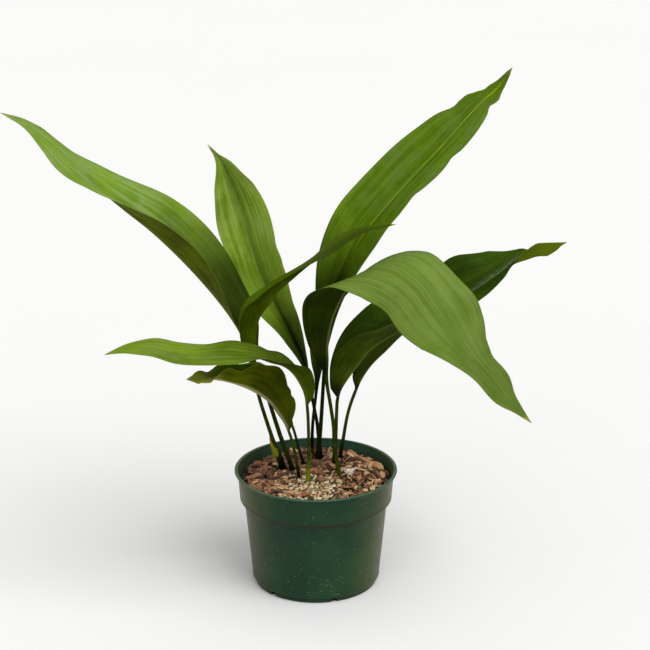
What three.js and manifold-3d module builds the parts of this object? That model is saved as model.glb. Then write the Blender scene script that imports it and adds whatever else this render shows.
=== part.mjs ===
// A potted cast iron plant: a round nursery pot filled with bark mix, a creeping rootstock under the
// surface, and eleven leaves that each rise from it on a stalk of their own.
// Millimetres, +Z up. The origin is on the floor, under the middle of the pot. The front is -Y.
import * as THREE from 'three';
import { mergeVertices } from 'three/addons/utils/BufferGeometryUtils.js';
import Module from 'manifold-3d';

const wasm = await Module();
wasm.setup();

// Pot
const potHeight = 120.5;
const lipRadius = 82.5;
const lipThickness = 1.7;
const lipWidth = 3.4;
const bandTopRadius = 79.3;
const bandBottomRadius = 77.3;
const bandBottomHeight = 90.5;
const stepDepth = 1.6;
const bodyTopRadius = 72.8;
const bodyBottomRadius = 65.3;
const footRadius = 62.6;
const footHeight = 4;
const potWall = 1.5;
const floorThickness = 3;
const potSides = 48;
const drainCount = 6;
const drainWidth = 9;
const drainHeight = 5;
const drainFirstAngle = -73;

// Potting mix
const soilEdgeHeight = 108;
const soilMound = 4;
const soilGap = 0.3;
const soilLump = 1.3;
const chipCount = 46;
const chipReach = 66;
const chipSeed = 41;

// Rootstock
const rhizomeHeight = 84;
const rhizomeRadius = 5.2;
const rhizomeTipRadius = 4.4;
const rhizomeStep = 13;
const bossRadius = 3.4;
const bossFlare = 0.6;
const seatGap = 0.3;
const holeGap = 0.45;
const holeSides = 7;
const holeRings = 3;
const holeReach = 8;

// Leaves: the half thickness of a blade, the keel of its midrib, and the spacing of its rings
const bladeHalfThickness = 0.36;
const keelDepth = 0.9;
const bladeRingSpacing = 14;
const stalkRingSpacing = 19;
const pointsAcrossHalf = 3;
const bladeStartsAt = 2.2;
const bladeIsFlatAt = 9;

// Each leaf gives the compass heading of its upright side, how much each half droops over its width,
// the stalk's radius at the foot and at the neck, the points of the stalk from the foot up, and the
// rows of the blade. A row is a point on the midrib, the half width there, and how far the left and
// the right half are lifted, in degrees.
const leaves = [
  {
    name: 'leaf_long_left', heading: 180, curl: -18, foot: 2.7, neck: 1.9, wave: [1.2, 3, 0.4],
    stalk: [[-24, 12, 92], [-24, 12, 112], [-36, 16, 149], [-48, 24, 186], [-55, 29, 208]],
    blade: [
      [-61, 31, 222, 4, 50, 60], [-70, 32, 241, 14, 30, 64], [-78, 31, 259, 25, 19, 62],
      [-91, 26, 282, 33, 13, 54], [-110, 16, 311, 39, 25, 57], [-135, 2, 345, 41, 40, 62],
      [-160, -9, 374, 41, 38, 54], [-185, -17, 398, 38, 25, 36], [-209, -21, 421, 34, 8, 18],
      [-232, -25, 447, 28, -13, 0], [-255, -27, 469, 21, -10, 2], [-275, -29, 485, 11, -2, 10],
      [-296, -30, 496, 1, 0, 10],
    ],
  },
  {
    name: 'leaf_upright', heading: 95, curl: -15, foot: 2.2, neck: 1.7, wave: [1.2, 4, 1],
    stalk: [[5, 44, 92], [5, 44, 112], [3, 45, 133], [1, 46, 152], [-3, 49, 173]],
    blade: [
      [-7, 51, 192, 3, 60, 60], [-12, 54, 215, 8, 60, 65], [-23, 58, 240, 17, 56, 54],
      [-37, 64, 267, 25, 45, 50], [-54, 68, 302, 30, 24, 40], [-65, 69, 334, 32, 36, 37],
      [-75, 66, 371, 31, 32, 34], [-85, 61, 404, 23, 40, 36], [-91, 54, 424, 11, 38, 45],
      [-98, 49, 435, 3, 30, 30], [-106, 43, 447, 1, 10, 10],
    ],
  },
  {
    name: 'leaf_thin_arching', heading: 10, curl: -12, foot: 2.5, neck: 1.9, wave: [0.8, 4, 0],
    stalk: [[-33, 20, 92], [-33, 20, 112], [-47, 12, 149], [-59, 1, 206]],
    blade: [
      [-62, 0, 227, 4, 60, 80], [-60, -3, 251, 12, 78, 88], [-59, -8, 271, 17, 76, 84],
      [-55, -13, 287, 20, 62, 74], [-46, -17, 301, 21, 34, 58], [-36, -20, 316, 22, 8, 46],
      [-23, -23, 329, 22, -4, 35], [-7, -26, 344, 22, -12, 30], [10, -29, 357, 21, -14, 25],
      [29, -32, 371, 18, -14, 21], [50, -35, 383, 11, -10, 16], [65, -37, 387, 5, 0, 8],
      [77, -38, 389, 1, 0, 0],
    ],
  },
  {
    name: 'leaf_tall_right', heading: 70, curl: -15, foot: 2.8, neck: 1.9, wave: [1.8, 4, 2.2],
    stalk: [[1, 33, 92], [1, 33, 112], [3, 36, 131], [5, 38, 153], [8, 44, 202]],
    blade: [
      [10, 46, 231, 4, 60, 60], [14, 50, 257, 14, 62, 60], [19, 54, 284, 25, 58, 56],
      [30, 60, 314, 33, 40, 50], [48, 68, 347, 37, 27, 44], [71, 76, 374, 38, 22, 45],
      [99, 84, 404, 37, 22, 44], [125, 90, 431, 31, 22, 38], [151, 94, 461, 22, 20, 22],
      [168, 94, 480, 12, 20, 10], [183, 92, 495, 6, 20, 10], [195, 88, 514, 1, 10, 10],
    ],
  },
  {
    name: 'leaf_level_left', heading: 184, curl: -15, foot: 2.4, neck: 1.7, wave: [1, 4, 0.5],
    stalk: [[-8, -16, 92], [-8, -16, 112], [-7, -15, 136], [-7, -16, 161]],
    blade: [
      [-8, -18, 191, 2.5, 60, 40], [-10, -21, 207, 9, 76, 30], [-15, -26, 222, 16, 62, 16],
      [-23, -31, 236, 21, 54, 8], [-32, -37, 245, 24, 34, 5], [-43, -42, 250, 26, 26, 8],
      [-54, -45, 255, 27, 20, 10], [-69, -48, 259, 28, 10, 8], [-85, -51, 262, 28, 0, 8],
      [-109, -54, 262, 26, -4, 5], [-133, -57, 264, 21, -8, 12], [-157, -59, 270, 16, -5, 22],
      [-179, -60, 271, 9, -16, 20], [-203, -61, 265, 1, 0, 10],
    ],
  },
  {
    name: 'leaf_drooping_front', heading: -38, curl: -18, foot: 2.3, neck: 1.8, wave: [1.2, 4, 0.8],
    stalk: [[24, -9, 92], [24, -9, 112], [19, -8, 146], [18, -7, 168], [15, -6, 190]],
    blade: [
      [11, -6, 218, 3, 40, 50], [12, -7, 237, 10, 40, 50], [12, -10, 257, 20, 35, 45],
      [15, -14, 278, 29, 28, 38], [21, -20, 299, 36, 18, 32], [31, -29, 321, 41, 8, 15],
      [45, -42, 341, 42, 4, -3], [62, -58, 356, 43, 0, -36], [80, -72, 357, 44, 4, -52],
      [100, -83, 344, 44, 12, -52], [116, -92, 323, 43, 26, -42], [129, -100, 303, 38, 20, -22],
      [142, -108, 284, 31, 12, 2], [160, -115, 266, 23, 14, 6], [178, -121, 245, 14, 9, -6],
      [192, -126, 232, 6, 5, 0], [203, -130, 222, 1, 0, 0],
    ],
  },
  {
    name: 'leaf_dusty_right', heading: 8, curl: -18, foot: 2.8, neck: 1.8, wave: [1, 4, 2],
    stalk: [[19, 33, 92], [19, 33, 112], [20, 33, 138], [21, 31, 166]],
    blade: [
      [22, 30, 184, 3, 60, 60], [25, 30, 194, 12, 72, 90], [32, 30, 206, 21, 72, 82],
      [42, 30, 220, 29, 70, 76], [55, 30, 237, 35, 68, 58], [71, 30, 249, 38, 66, 44],
      [93, 30, 263, 38, 60, 34], [119, 30, 279, 38, 60, 18], [143, 30, 291, 38, 60, 3],
      [165, 30, 305, 33, 62, 2], [186, 30, 321, 22, 48, 2], [200, 28, 334, 12, 34, 0],
      [214, 26, 342, 8, 28, -25], [229, 24, 346, 7, 36, -30], [248, 22, 353, 1, 10, 0],
    ],
  },
  {
    name: 'leaf_low_left', heading: 190, curl: -10, foot: 2, neck: 1.6, wave: [2.2, 5, 0.5],
    stalk: [[-17, -9, 92], [-17, -9, 112], [-20, -10, 136]],
    blade: [
      [-26, -12, 163, 2.5, 60, 60], [-31, -15, 176, 11, 66, 60], [-38, -18, 188, 20, 86, 55],
      [-45, -22, 200, 27, 96, 50], [-56, -27, 211, 32, 98, 42], [-68, -33, 220, 31, 83, 34],
      [-83, -39, 228, 28, 52, 19], [-96, -45, 233, 22, 54, 4], [-108, -50, 236, 13, 0, 14],
      [-117, -54, 236, 8, 0, 24], [-125, -57, 238, 1, 0, 10],
    ],
  },
  {
    name: 'leaf_short_right', heading: 14, curl: -15, foot: 2.2, neck: 1.7, wave: [1, 3, 0],
    stalk: [[25, 46, 92], [25, 46, 112], [28, 48, 132], [33, 50, 161]],
    blade: [
      [40, 51, 183, 3, 60, 60], [47, 53, 198, 11, 66, 70], [57, 56, 212, 18, 62, 62],
      [72, 60, 226, 23, 50, 50], [89, 64, 242, 26, 40, 35], [108, 68, 253, 25, 30, 20],
      [130, 71, 257, 21, 20, 10], [150, 74, 247, 14, 10, 0], [169, 75, 225, 1, 0, 0],
    ],
  },
  {
    name: 'leaf_back', heading: 72, curl: -15, foot: 2.1, neck: 1.6, wave: [1, 3, 1],
    stalk: [[-3, 54, 92], [-3, 54, 112], [-4, 57, 131], [-3, 60, 151]],
    blade: [
      [-1, 62, 168, 2.5, 60, 60], [2, 66, 193, 6, 50, 50], [5, 72, 227, 12, 35, 35],
      [13, 80, 265, 15, 25, 25], [27, 90, 303, 18, 20, 20], [45, 101, 337, 20, 15, 15],
      [65, 112, 366, 17, 15, 15], [84, 121, 390, 9, 10, 10], [99, 127, 406, 1, 0, 0],
    ],
  },
  {
    name: 'leaf_young', heading: 150, curl: -15, foot: 1.7, neck: 1.4, wave: [0.4, 3, 0],
    stalk: [[-13, 30, 92], [-13, 30, 112], [-17, 29, 128]],
    blade: [
      [-23, 28, 152, 2, 60, 60], [-29, 31, 167, 5, 50, 50], [-37, 36, 181, 9, 40, 40],
      [-48, 43, 191, 12, 30, 30], [-61, 51, 197, 12, 25, 25], [-74, 58, 198, 9, 20, 20],
      [-87, 64, 196, 4, 10, 10], [-95, 67, 193, 1, 0, 0],
    ],
  },
];

// Two sheath scales: short pointed wraps that stand in the mix beside a stalk
const sheaths = [
  {
    name: 'sheath_green', heading: 180, curl: 40, foot: 1.4, neck: 1.4, wave: [0, 1, 0],
    stalk: [[-38.2, 20.5, 98], [-38.2, 20.5, 108]],
    blade: [
      [-39.5, 19.5, 114, 3, 55, 55], [-43, 18.5, 124, 3.2, 50, 50], [-47.5, 17, 136, 2.4, 40, 40],
      [-51.5, 16, 147, 0.7, 0, 0],
    ],
  },
  {
    name: 'sheath_brown', heading: 180, curl: 40, foot: 1.2, neck: 1.2, wave: [0, 1, 0],
    stalk: [[-4.2, 33, 98], [-4.2, 33, 108]],
    blade: [[-3.8, 33.5, 114, 2.3, 50, 50], [-3, 34.5, 124, 2.2, 45, 45], [-1.6, 35.5, 136, 0.7, 0, 0]],
  },
];

// The rootstock creeps from left to right in a crooked line, with side shoots to the other stalks
const rhizomeRoutes = [
  [[-39, 24], [-33, 20], [-24, 12], [-12, 8], [2, 14], [14, 24], [19, 33], [25, 46], [28, 52]],
  [[-12, 8], [-17, -3], [-15, -11], [-8, -17]],
  [[8, 18], [16, 8], [24, -9], [26, -14]],
  [[0, 13], [-1, 24], [1, 33], [5, 44], [0, 51], [-5, 56]],
  [[-24, 12], [-19, 20], [-13, 30], [-11, 34]],
];
const rootRoutes = [
  [[-30, 18, 82], [-42, 14, 70], [-48, 6, 52], [-44, -8, 34]],
  [[-14, 2, 81], [-24, -16, 70], [-34, -34, 56], [-30, -42, 36]],
  [[6, 16, 81], [4, -4, 66], [10, -26, 50], [6, -40, 28]],
  [[18, 4, 81], [34, -12, 70], [46, -22, 54], [44, -20, 32]],
  [[22, 40, 81], [38, 36, 68], [50, 26, 52], [50, 10, 34]],
  [[2, 40, 81], [-8, 50, 68], [-24, 52, 50], [-34, 42, 30]],
];
const rootRadius = 1.7;
const rootTipRadius = 0.9;

// Colours of the pieces
const potGreen = 0x2c4f38;
const barkBrown = 0x7a5a44;
const rootCream = 0x9c8a63;
const leafGreen = 0x567c1f;
const sheathGreen = 0x8f9a2c;
const sheathBrown = 0x5a3a22;

// Closed bodies: merged corners, no flat triangles, faces outwards
function closed(geometry) {
  const bare = geometry.clone();
  bare.deleteAttribute('normal');
  bare.deleteAttribute('uv');
  const merged = mergeVertices(bare, 1e-4);
  const place = merged.getAttribute('position').array;
  const corner = merged.getIndex().array;
  const kept = [];
  let volume = 0;
  for (let i = 0; i < corner.length; i += 3) {
    const [a, b, c] = [corner[i], corner[i + 1], corner[i + 2]];
    if (a === b || b === c || c === a) continue;
    kept.push(a, b, c);
    const [p, q, r] = [a, b, c].map((k) => new THREE.Vector3().fromArray(place, 3 * k));
    volume += p.dot(q.cross(r));
  }
  if (volume < 0) kept.reverse();
  merged.setIndex(kept);
  return merged;
}

function toSolid(geometry) {
  const body = closed(geometry);
  return new wasm.Manifold(new wasm.Mesh({
    numProp: 3,
    vertProperties: new Float32Array(body.getAttribute('position').array),
    triVerts: new Uint32Array(body.getIndex().array),
  }));
}

function fromSolid(solid) {
  const mesh = solid.getMesh();
  const geometry = new THREE.BufferGeometry();
  geometry.setAttribute('position', new THREE.BufferAttribute(new Float32Array(mesh.vertProperties), 3));
  geometry.setIndex(Array.from(mesh.triVerts));
  return geometry;
}

function joined(solids) {
  return solids.reduce((whole, piece) => whole.add(piece));
}

// A seeded random draw, so that the chips lie the same way each time
function seededDraw(seed) {
  let state = seed;
  return (low, high) => {
    state = (state * 1103515245 + 12345) % 2147483648;
    return low + (high - low) * (state / 2147483648);
  };
}

// A value along a list, smooth from entry to entry
function smoothValue(list, at) {
  const first = Math.min(Math.floor(at), list.length - 2);
  const w = at - first;
  const b = list[first];
  const c = list[first + 1];
  const a = first > 0 ? list[first - 1] : 2 * b - c;
  const d = first + 2 < list.length ? list[first + 2] : 2 * c - b;
  const bend = (3 * (b - c) + d - a) * w ** 3 + (2 * a - 5 * b + 4 * c - d) * w ** 2 + (c - a) * w;
  return b + bend / 2;
}

// Where a half blade is at a share of its width, and which way it faces there
function halfBlade(share, width, lift, curl) {
  const turn = THREE.MathUtils.degToRad(curl);
  const start = THREE.MathUtils.degToRad(lift) - turn / 2;
  const angle = start + turn * share;
  return {
    out: (width * (Math.sin(angle) - Math.sin(start))) / turn,
    up: (-width * (Math.cos(angle) - Math.cos(start))) / turn,
    angle,
  };
}

// One leaf: a loft that is round in the stalk and flattens into the thin blade
function leafGeometry(leaf) {
  const rows = [...leaf.stalk.map((p) => [...p, leaf.neck, 60, 60]), ...leaf.blade];
  const points = rows.map((row) => new THREE.Vector3(row[0], row[1], row[2]));
  const curve = new THREE.CatmullRomCurve3(points, false, 'centripetal');
  const last = rows.length - 1;
  const bladeFrom = leaf.stalk.length / last;
  const heading = THREE.MathUtils.degToRad(leaf.heading);
  const rightHand = new THREE.Vector3(Math.sin(heading), -Math.cos(heading), 0);
  const columns = [3, 4, 5].map((k) => rows.map((row) => row[k]));
  const widest = columns[0].indexOf(Math.max(...columns[0])) / last;
  const [waveHeight, waveCount, wavePhase] = leaf.wave;

  const places = ringPlaces(curve, bladeFrom);
  const across = pointsAcrossHalf;
  const perRow = 2 * across + 1;
  const step = Math.PI / perRow;
  const vertices = [];
  for (const t of places) {
    const middle = curve.getPoint(t);
    const along = curve.getTangent(t);
    const right = rightHand.clone().addScaledVector(along, -rightHand.dot(along)).normalize();
    const up = new THREE.Vector3().crossVectors(right, along);
    const [width, left, rightLift] = columns.map((column) => smoothValue(column, t * last));
    const onBlade = Math.max(0, (t - bladeFrom) / (1 - bladeFrom));
    const onStalk = Math.min(1, t / bladeFrom);
    const radius = THREE.MathUtils.lerp(leaf.foot, leaf.neck, THREE.MathUtils.smoothstep(onStalk, 0.1, 0.8));
    const opening = THREE.MathUtils.smoothstep(width, bladeStartsAt, bladeIsFlatAt);
    const flat = t > widest ? 1 : opening * (t > bladeFrom ? 1 : 0);
    const curl = leaf.curl * Math.min(1, onBlade * 4) - 0.01;
    const wavy = waveHeight * Math.sqrt(Math.sin(Math.PI * Math.min(onBlade, 1))) * Math.min(1, width / 15);
    for (const face of [1, -1]) {
      for (let j = -across; j <= across; j += 1) {
        const share = Math.abs(j) / across;
        const side = j < 0 ? -1 : 1;
        const half = halfBlade(share, Math.max(width, 0.6), j < 0 ? left : rightLift, curl);
        const lag = j < 0 ? 1.9 : 0;
        const wave = wavy * share ** 2 * Math.sin(2 * Math.PI * waveCount * onBlade + wavePhase + lag);
        const faceOut = j === 0 ? 0 : -side * Math.sin(half.angle);
        const faceUp = j === 0 ? 1 : Math.cos(half.angle);
        const keel = j === 0 && face < 0 ? keelDepth * (1 - onBlade) : 0;
        const depth = face * (bladeHalfThickness + keel);
        const bladeOut = side * half.out + depth * faceOut;
        const bladeUp = half.up + wave + depth * faceUp;
        const turn = Math.PI / 2 - j * step;
        const channel = j === 0 && face > 0 ? 0.75 : 1;
        const stalkOut = radius * Math.cos(turn);
        const stalkUp = face * radius * Math.sin(turn) * channel;
        const spot = middle.clone();
        spot.addScaledVector(right, THREE.MathUtils.lerp(stalkOut, bladeOut, flat));
        spot.addScaledVector(up, THREE.MathUtils.lerp(stalkUp, bladeUp, flat));
        vertices.push(spot.x, spot.y, spot.z);
      }
    }
  }
  return loftOfPairs(vertices, places.length, perRow);
}

// Where the rings of a leaf lie: wide steps on the stalk, closer ones on the blade
function ringPlaces(curve, bladeFrom) {
  curve.arcLengthDivisions = 400;
  const lengths = curve.getLengths();
  const total = lengths[lengths.length - 1];
  const stalkLength = lengths[Math.round(bladeFrom * curve.arcLengthDivisions)];
  const stalkRings = Math.max(2, Math.round(stalkLength / stalkRingSpacing));
  const bladeRings = Math.max(3, Math.round((total - stalkLength) / bladeRingSpacing));
  const places = [];
  for (let i = 0; i < stalkRings; i += 1) {
    places.push(curve.getUtoTmapping((stalkLength * i) / stalkRings / total));
  }
  for (let i = 0; i <= bladeRings; i += 1) {
    const reach = stalkLength + ((total - stalkLength) * i) / bladeRings;
    places.push(curve.getUtoTmapping(reach / total));
  }
  return places;
}

// Faces between rings that each have an upper and an under row, split alike on both faces
function loftOfPairs(vertices, rings, perRow) {
  const at = (ring, under, j) => (2 * ring + under) * perRow + j;
  const faces = [];
  for (let i = 0; i + 1 < rings; i += 1) {
    for (let j = 0; j + 1 < perRow; j += 1) {
      faces.push(at(i, 0, j), at(i, 0, j + 1), at(i + 1, 0, j + 1));
      faces.push(at(i, 0, j), at(i + 1, 0, j + 1), at(i + 1, 0, j));
      faces.push(at(i, 1, j), at(i + 1, 1, j + 1), at(i, 1, j + 1));
      faces.push(at(i, 1, j), at(i + 1, 1, j), at(i + 1, 1, j + 1));
    }
    const edge = perRow - 1;
    faces.push(at(i, 1, 0), at(i, 0, 0), at(i + 1, 0, 0));
    faces.push(at(i, 1, 0), at(i + 1, 0, 0), at(i + 1, 1, 0));
    faces.push(at(i, 0, edge), at(i, 1, edge), at(i + 1, 1, edge));
    faces.push(at(i, 0, edge), at(i + 1, 1, edge), at(i + 1, 0, edge));
  }
  const end = rings - 1;
  for (let j = 0; j + 1 < perRow; j += 1) {
    faces.push(at(0, 0, j), at(0, 1, j + 1), at(0, 0, j + 1));
    faces.push(at(0, 0, j), at(0, 1, j), at(0, 1, j + 1));
    faces.push(at(end, 0, j), at(end, 0, j + 1), at(end, 1, j + 1));
    faces.push(at(end, 0, j), at(end, 1, j + 1), at(end, 1, j));
  }
  const geometry = new THREE.BufferGeometry();
  geometry.setAttribute('position', new THREE.Float32BufferAttribute(vertices, 3));
  geometry.setIndex(faces);
  return geometry;
}

// A tapering tube with closed ends along a curve
function taperedTube(curve, startRadius, endRadius, rings, sides) {
  const frames = curve.computeFrenetFrames(rings, false);
  const vertices = [];
  for (let i = 0; i <= rings; i += 1) {
    const share = i / rings;
    const middle = curve.getPointAt(share);
    const radius = THREE.MathUtils.lerp(startRadius, endRadius, share);
    for (let k = 0; k < sides; k += 1) {
      const angle = (2 * Math.PI * k) / sides;
      const spot = middle.clone();
      spot.addScaledVector(frames.normals[i], radius * Math.cos(angle));
      spot.addScaledVector(frames.binormals[i], radius * Math.sin(angle));
      vertices.push(spot.x, spot.y, spot.z);
    }
  }
  const faces = [];
  for (let i = 0; i < rings; i += 1) {
    for (let k = 0; k < sides; k += 1) {
      const next = (k + 1) % sides;
      const [a, b] = [i * sides + k, i * sides + next];
      const [c, d] = [a + sides, b + sides];
      faces.push(a, b, d, a, d, c);
    }
  }
  for (let k = 1; k + 1 < sides; k += 1) {
    const far = rings * sides;
    faces.push(0, k + 1, k, far, far + k, far + k + 1);
  }
  const geometry = new THREE.BufferGeometry();
  geometry.setAttribute('position', new THREE.Float32BufferAttribute(vertices, 3));
  geometry.setIndex(faces);
  return geometry;
}

// A profile of radius and height turned round the vertical axis
function turned(profile, sides) {
  const points = profile.map(([radius, height]) => new THREE.Vector2(radius, height));
  return new THREE.LatheGeometry(points, sides).rotateX(Math.PI / 2);
}

// The inside of the pot's wall, from the lip down to the floor
const insideProfile = [
  [bandTopRadius - potWall, potHeight - lipThickness - 1],
  [bandBottomRadius - potWall, bandBottomHeight],
  [bodyTopRadius - potWall, bandBottomHeight - 2 * stepDepth],
  [bodyBottomRadius - potWall, footHeight + 4],
  [footRadius - potWall - 1, floorThickness],
];

function buildPot() {
  const outside = [
    [0, 0],
    [footRadius - 0.8, 0],
    [footRadius, 0.8],
    [footRadius, footHeight],
    [footRadius + 0.6, footHeight + 0.6],
    [bodyBottomRadius - 0.9, footHeight + 2.2],
    [bodyBottomRadius, footHeight + 5],
    [bodyTopRadius, bandBottomHeight - stepDepth],
    [bandBottomRadius - 0.6, bandBottomHeight - 0.5],
    [bandBottomRadius, bandBottomHeight + 0.3],
    [bandTopRadius, potHeight - lipThickness - 0.8],
    [bandTopRadius + 0.8, potHeight - lipThickness],
    [lipRadius - 0.5, potHeight - lipThickness],
    [lipRadius, potHeight - lipThickness + 0.5],
    [lipRadius, potHeight - 0.6],
    [lipRadius - 0.6, potHeight],
    [lipRadius - lipWidth, potHeight],
  ];
  const inside = [...insideProfile, [0, floorThickness]];
  let pot = toSolid(turned([...outside, ...inside], potSides));
  for (let i = 0; i < drainCount; i += 1) {
    const notch = new THREE.BoxGeometry(14, drainWidth, 2 * drainHeight);
    notch.translate(footRadius, 0, 0);
    notch.rotateZ(THREE.MathUtils.degToRad(drainFirstAngle + (360 * i) / drainCount));
    pot = pot.subtract(toSolid(notch));
  }
  return fromSolid(pot);
}

// The height of the mix: a low mound with soft lumps, quiet at the pot's wall
function soilHeight(x, y) {
  const reach = Math.min(1, Math.hypot(x, y - 15) / 80);
  const lumps = Math.sin(x * 0.21 + 1.3) * Math.cos(y * 0.24 - 0.4) + 0.6 * Math.sin(x * 0.47 - y * 0.39);
  return soilEdgeHeight + soilMound * (1 - reach ** 2) + soilLump * lumps * (1 - reach ** 6);
}

function soilBody() {
  const rim = insideProfile[0][0] - soilGap;
  const wall = insideProfile.slice(1).reverse().map(([radius, height]) => [radius - soilGap, height]);
  wall[0][1] += soilGap;
  const slope = (rim - wall[wall.length - 1][0]) / (insideProfile[0][1] - bandBottomHeight);
  const edge = wall[wall.length - 1][0] + slope * (soilEdgeHeight - bandBottomHeight);
  const top = [0.92, 0.8, 0.66, 0.52, 0.38, 0.24, 0.12, 0].map((share) => [share * edge, soilEdgeHeight]);
  const geometry = turned([[0, wall[0][1]], ...wall, [edge, soilEdgeHeight], ...top], 40);
  const place = geometry.getAttribute('position');
  for (let i = 0; i < place.count; i += 1) {
    const [x, y] = [place.getX(i), place.getY(i)];
    if (place.getZ(i) > soilEdgeHeight - 0.01 && Math.hypot(x, y) < edge - 1) place.setZ(i, soilHeight(x, y));
  }
  return toSolid(geometry);
}

// Bark chips and shreds that lie on the mix, sunk into it, and clear of the stalks
function barkChips(feet) {
  const draw = seededDraw(chipSeed);
  const chips = [];
  while (chips.length < chipCount) {
    const angle = draw(0, 2 * Math.PI);
    const reach = chipReach * Math.sqrt(draw(0, 1));
    const [x, y] = [reach * Math.cos(angle), reach * Math.sin(angle)];
    const [length, width, thickness] = [draw(7, 17), draw(3, 8), draw(2.4, 3.6)];
    const [yaw, tiltX, tiltY] = [draw(0, Math.PI), draw(-0.28, 0.28), draw(-0.2, 0.2)];
    const nearest = Math.min(...feet.map(([fx, fy]) => Math.hypot(x - fx, y - fy)));
    if (nearest < length / 2 + 5) continue;
    const chip = new THREE.BoxGeometry(length, width, thickness);
    chip.rotateX(tiltX).rotateY(tiltY).rotateZ(yaw);
    chip.translate(x, y, soilHeight(x, y) - 0.2);
    chips.push(toSolid(chip));
  }
  return chips;
}

function stalkFeet() {
  return [...leaves, ...sheaths].map((leaf) => leaf.stalk[0]);
}

// The rootstock, or the room that it needs in the mix when it is grown by a gap
function rootstock(extra) {
  const pieces = rhizomeRoutes.map((route) => {
    const points = route.map(([x, y], i) => new THREE.Vector3(x, y, rhizomeHeight + (i % 2) * 0.8));
    const curve = new THREE.CatmullRomCurve3(points);
    const rings = Math.round(curve.getLength() / rhizomeStep);
    return toSolid(taperedTube(curve, rhizomeRadius + extra, rhizomeTipRadius + extra, rings, 7));
  });
  for (const leaf of leaves) {
    const [x, y, z] = leaf.stalk[0];
    const top = z - seatGap + extra;
    const [tall, radius] = [top - rhizomeHeight, bossRadius + extra];
    const boss = new THREE.CylinderGeometry(radius, radius + bossFlare, tall, 6);
    boss.rotateX(Math.PI / 2).translate(x, y, rhizomeHeight + tall / 2);
    pieces.push(toSolid(boss));
  }
  for (const route of rootRoutes) {
    const curve = new THREE.CatmullRomCurve3(route.map((p) => new THREE.Vector3(...p)));
    pieces.push(toSolid(taperedTube(curve, rootRadius + extra, rootTipRadius + extra, 4, 4)));
  }
  return joined(pieces);
}

// A plain hole round a stalk, from its foot to above the mix
function stalkHole(leaf) {
  const points = [...leaf.stalk, ...leaf.blade].map((p) => new THREE.Vector3(p[0], p[1], p[2]));
  const whole = new THREE.CatmullRomCurve3(points, false, 'centripetal');
  const topHeight = soilEdgeHeight + soilMound + holeReach;
  const route = [];
  const divisions = 400;
  let height = -Infinity;
  for (let i = 0; height < topHeight; i += 6) {
    const spot = whole.getPoint(i / divisions);
    height = spot.z;
    route.push(spot);
  }
  route[0].z -= seatGap;
  const curve = new THREE.CatmullRomCurve3(route);
  const corner = 1 / Math.cos(Math.PI / holeSides);
  const foot = (leaf.foot + holeGap) * corner;
  const widest = leaf.blade[0][2] < topHeight ? leaf.blade[0][3] : leaf.foot;
  return toSolid(taperedTube(curve, foot, (widest + holeGap) * corner, holeRings, holeSides));
}

function buildSoil() {
  const mix = joined([soilBody(), ...barkChips(stalkFeet())]);
  const room = joined([rootstock(seatGap), ...[...leaves, ...sheaths].map(stalkHole)]);
  return fromSolid(mix.subtract(room));
}

function piece(name, geometry, color, roughness) {
  const mesh = new THREE.Mesh(geometry, new THREE.MeshStandardMaterial({ color, roughness, metalness: 0 }));
  mesh.name = name;
  return mesh;
}

const plant = new THREE.Group();
plant.add(piece('pot', buildPot(), potGreen, 0.4));
plant.add(piece('potting_mix', buildSoil(), barkBrown, 0.95));
plant.add(piece('rootstock', fromSolid(rootstock(0)), rootCream, 0.8));
for (const leaf of leaves) plant.add(piece(leaf.name, closed(leafGeometry(leaf)), leafGreen, 0.45));
plant.add(piece('sheath_green', closed(leafGeometry(sheaths[0])), sheathGreen, 0.6));
plant.add(piece('sheath_brown', closed(leafGeometry(sheaths[1])), sheathBrown, 0.8));

export default plant;
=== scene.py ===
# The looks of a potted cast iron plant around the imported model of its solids. Lists of sizes are in mm.
import math
import random
from types import SimpleNamespace

import bmesh
import bpy
from mathutils import Matrix, Vector, noise


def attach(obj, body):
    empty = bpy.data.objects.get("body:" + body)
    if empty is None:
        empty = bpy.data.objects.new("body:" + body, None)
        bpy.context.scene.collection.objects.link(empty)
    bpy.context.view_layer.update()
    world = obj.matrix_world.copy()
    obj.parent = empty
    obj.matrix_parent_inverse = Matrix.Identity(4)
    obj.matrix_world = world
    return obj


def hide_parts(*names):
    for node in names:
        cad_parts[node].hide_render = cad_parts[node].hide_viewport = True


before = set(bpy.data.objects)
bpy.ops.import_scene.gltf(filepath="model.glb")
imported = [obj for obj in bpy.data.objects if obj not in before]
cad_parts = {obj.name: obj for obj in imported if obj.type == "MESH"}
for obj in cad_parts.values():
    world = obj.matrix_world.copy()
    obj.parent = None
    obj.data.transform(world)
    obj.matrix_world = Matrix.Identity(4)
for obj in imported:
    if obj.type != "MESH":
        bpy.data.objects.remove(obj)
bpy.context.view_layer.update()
mm = 0.001
cm = 0.01
fullTurn = 2 * math.pi
scene = bpy.context.scene


# Shader maths: a Wire is an output socket that can be added, multiplied and so on
class Wire:
    def __init__(self, finish, socket):
        self.finish = finish
        self.socket = socket

    def maths(self, operation, *values):
        return self.finish.node("Math", {"operation": operation}, dict(enumerate(values)))

    def __add__(self, other):
        return self.maths("ADD", self, other)

    def __sub__(self, other):
        return self.maths("SUBTRACT", self, other)

    def __rsub__(self, other):
        return self.maths("SUBTRACT", other, self)

    def __mul__(self, other):
        return self.maths("MULTIPLY", self, other)

    def __pow__(self, other):
        return self.maths("POWER", self, other)

    def __or__(self, other):
        return self.maths("MAXIMUM", self, other)

    def __abs__(self):
        return self.maths("ABSOLUTE", self)

    __radd__ = __add__
    __rmul__ = __mul__
    __ror__ = __or__


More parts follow.
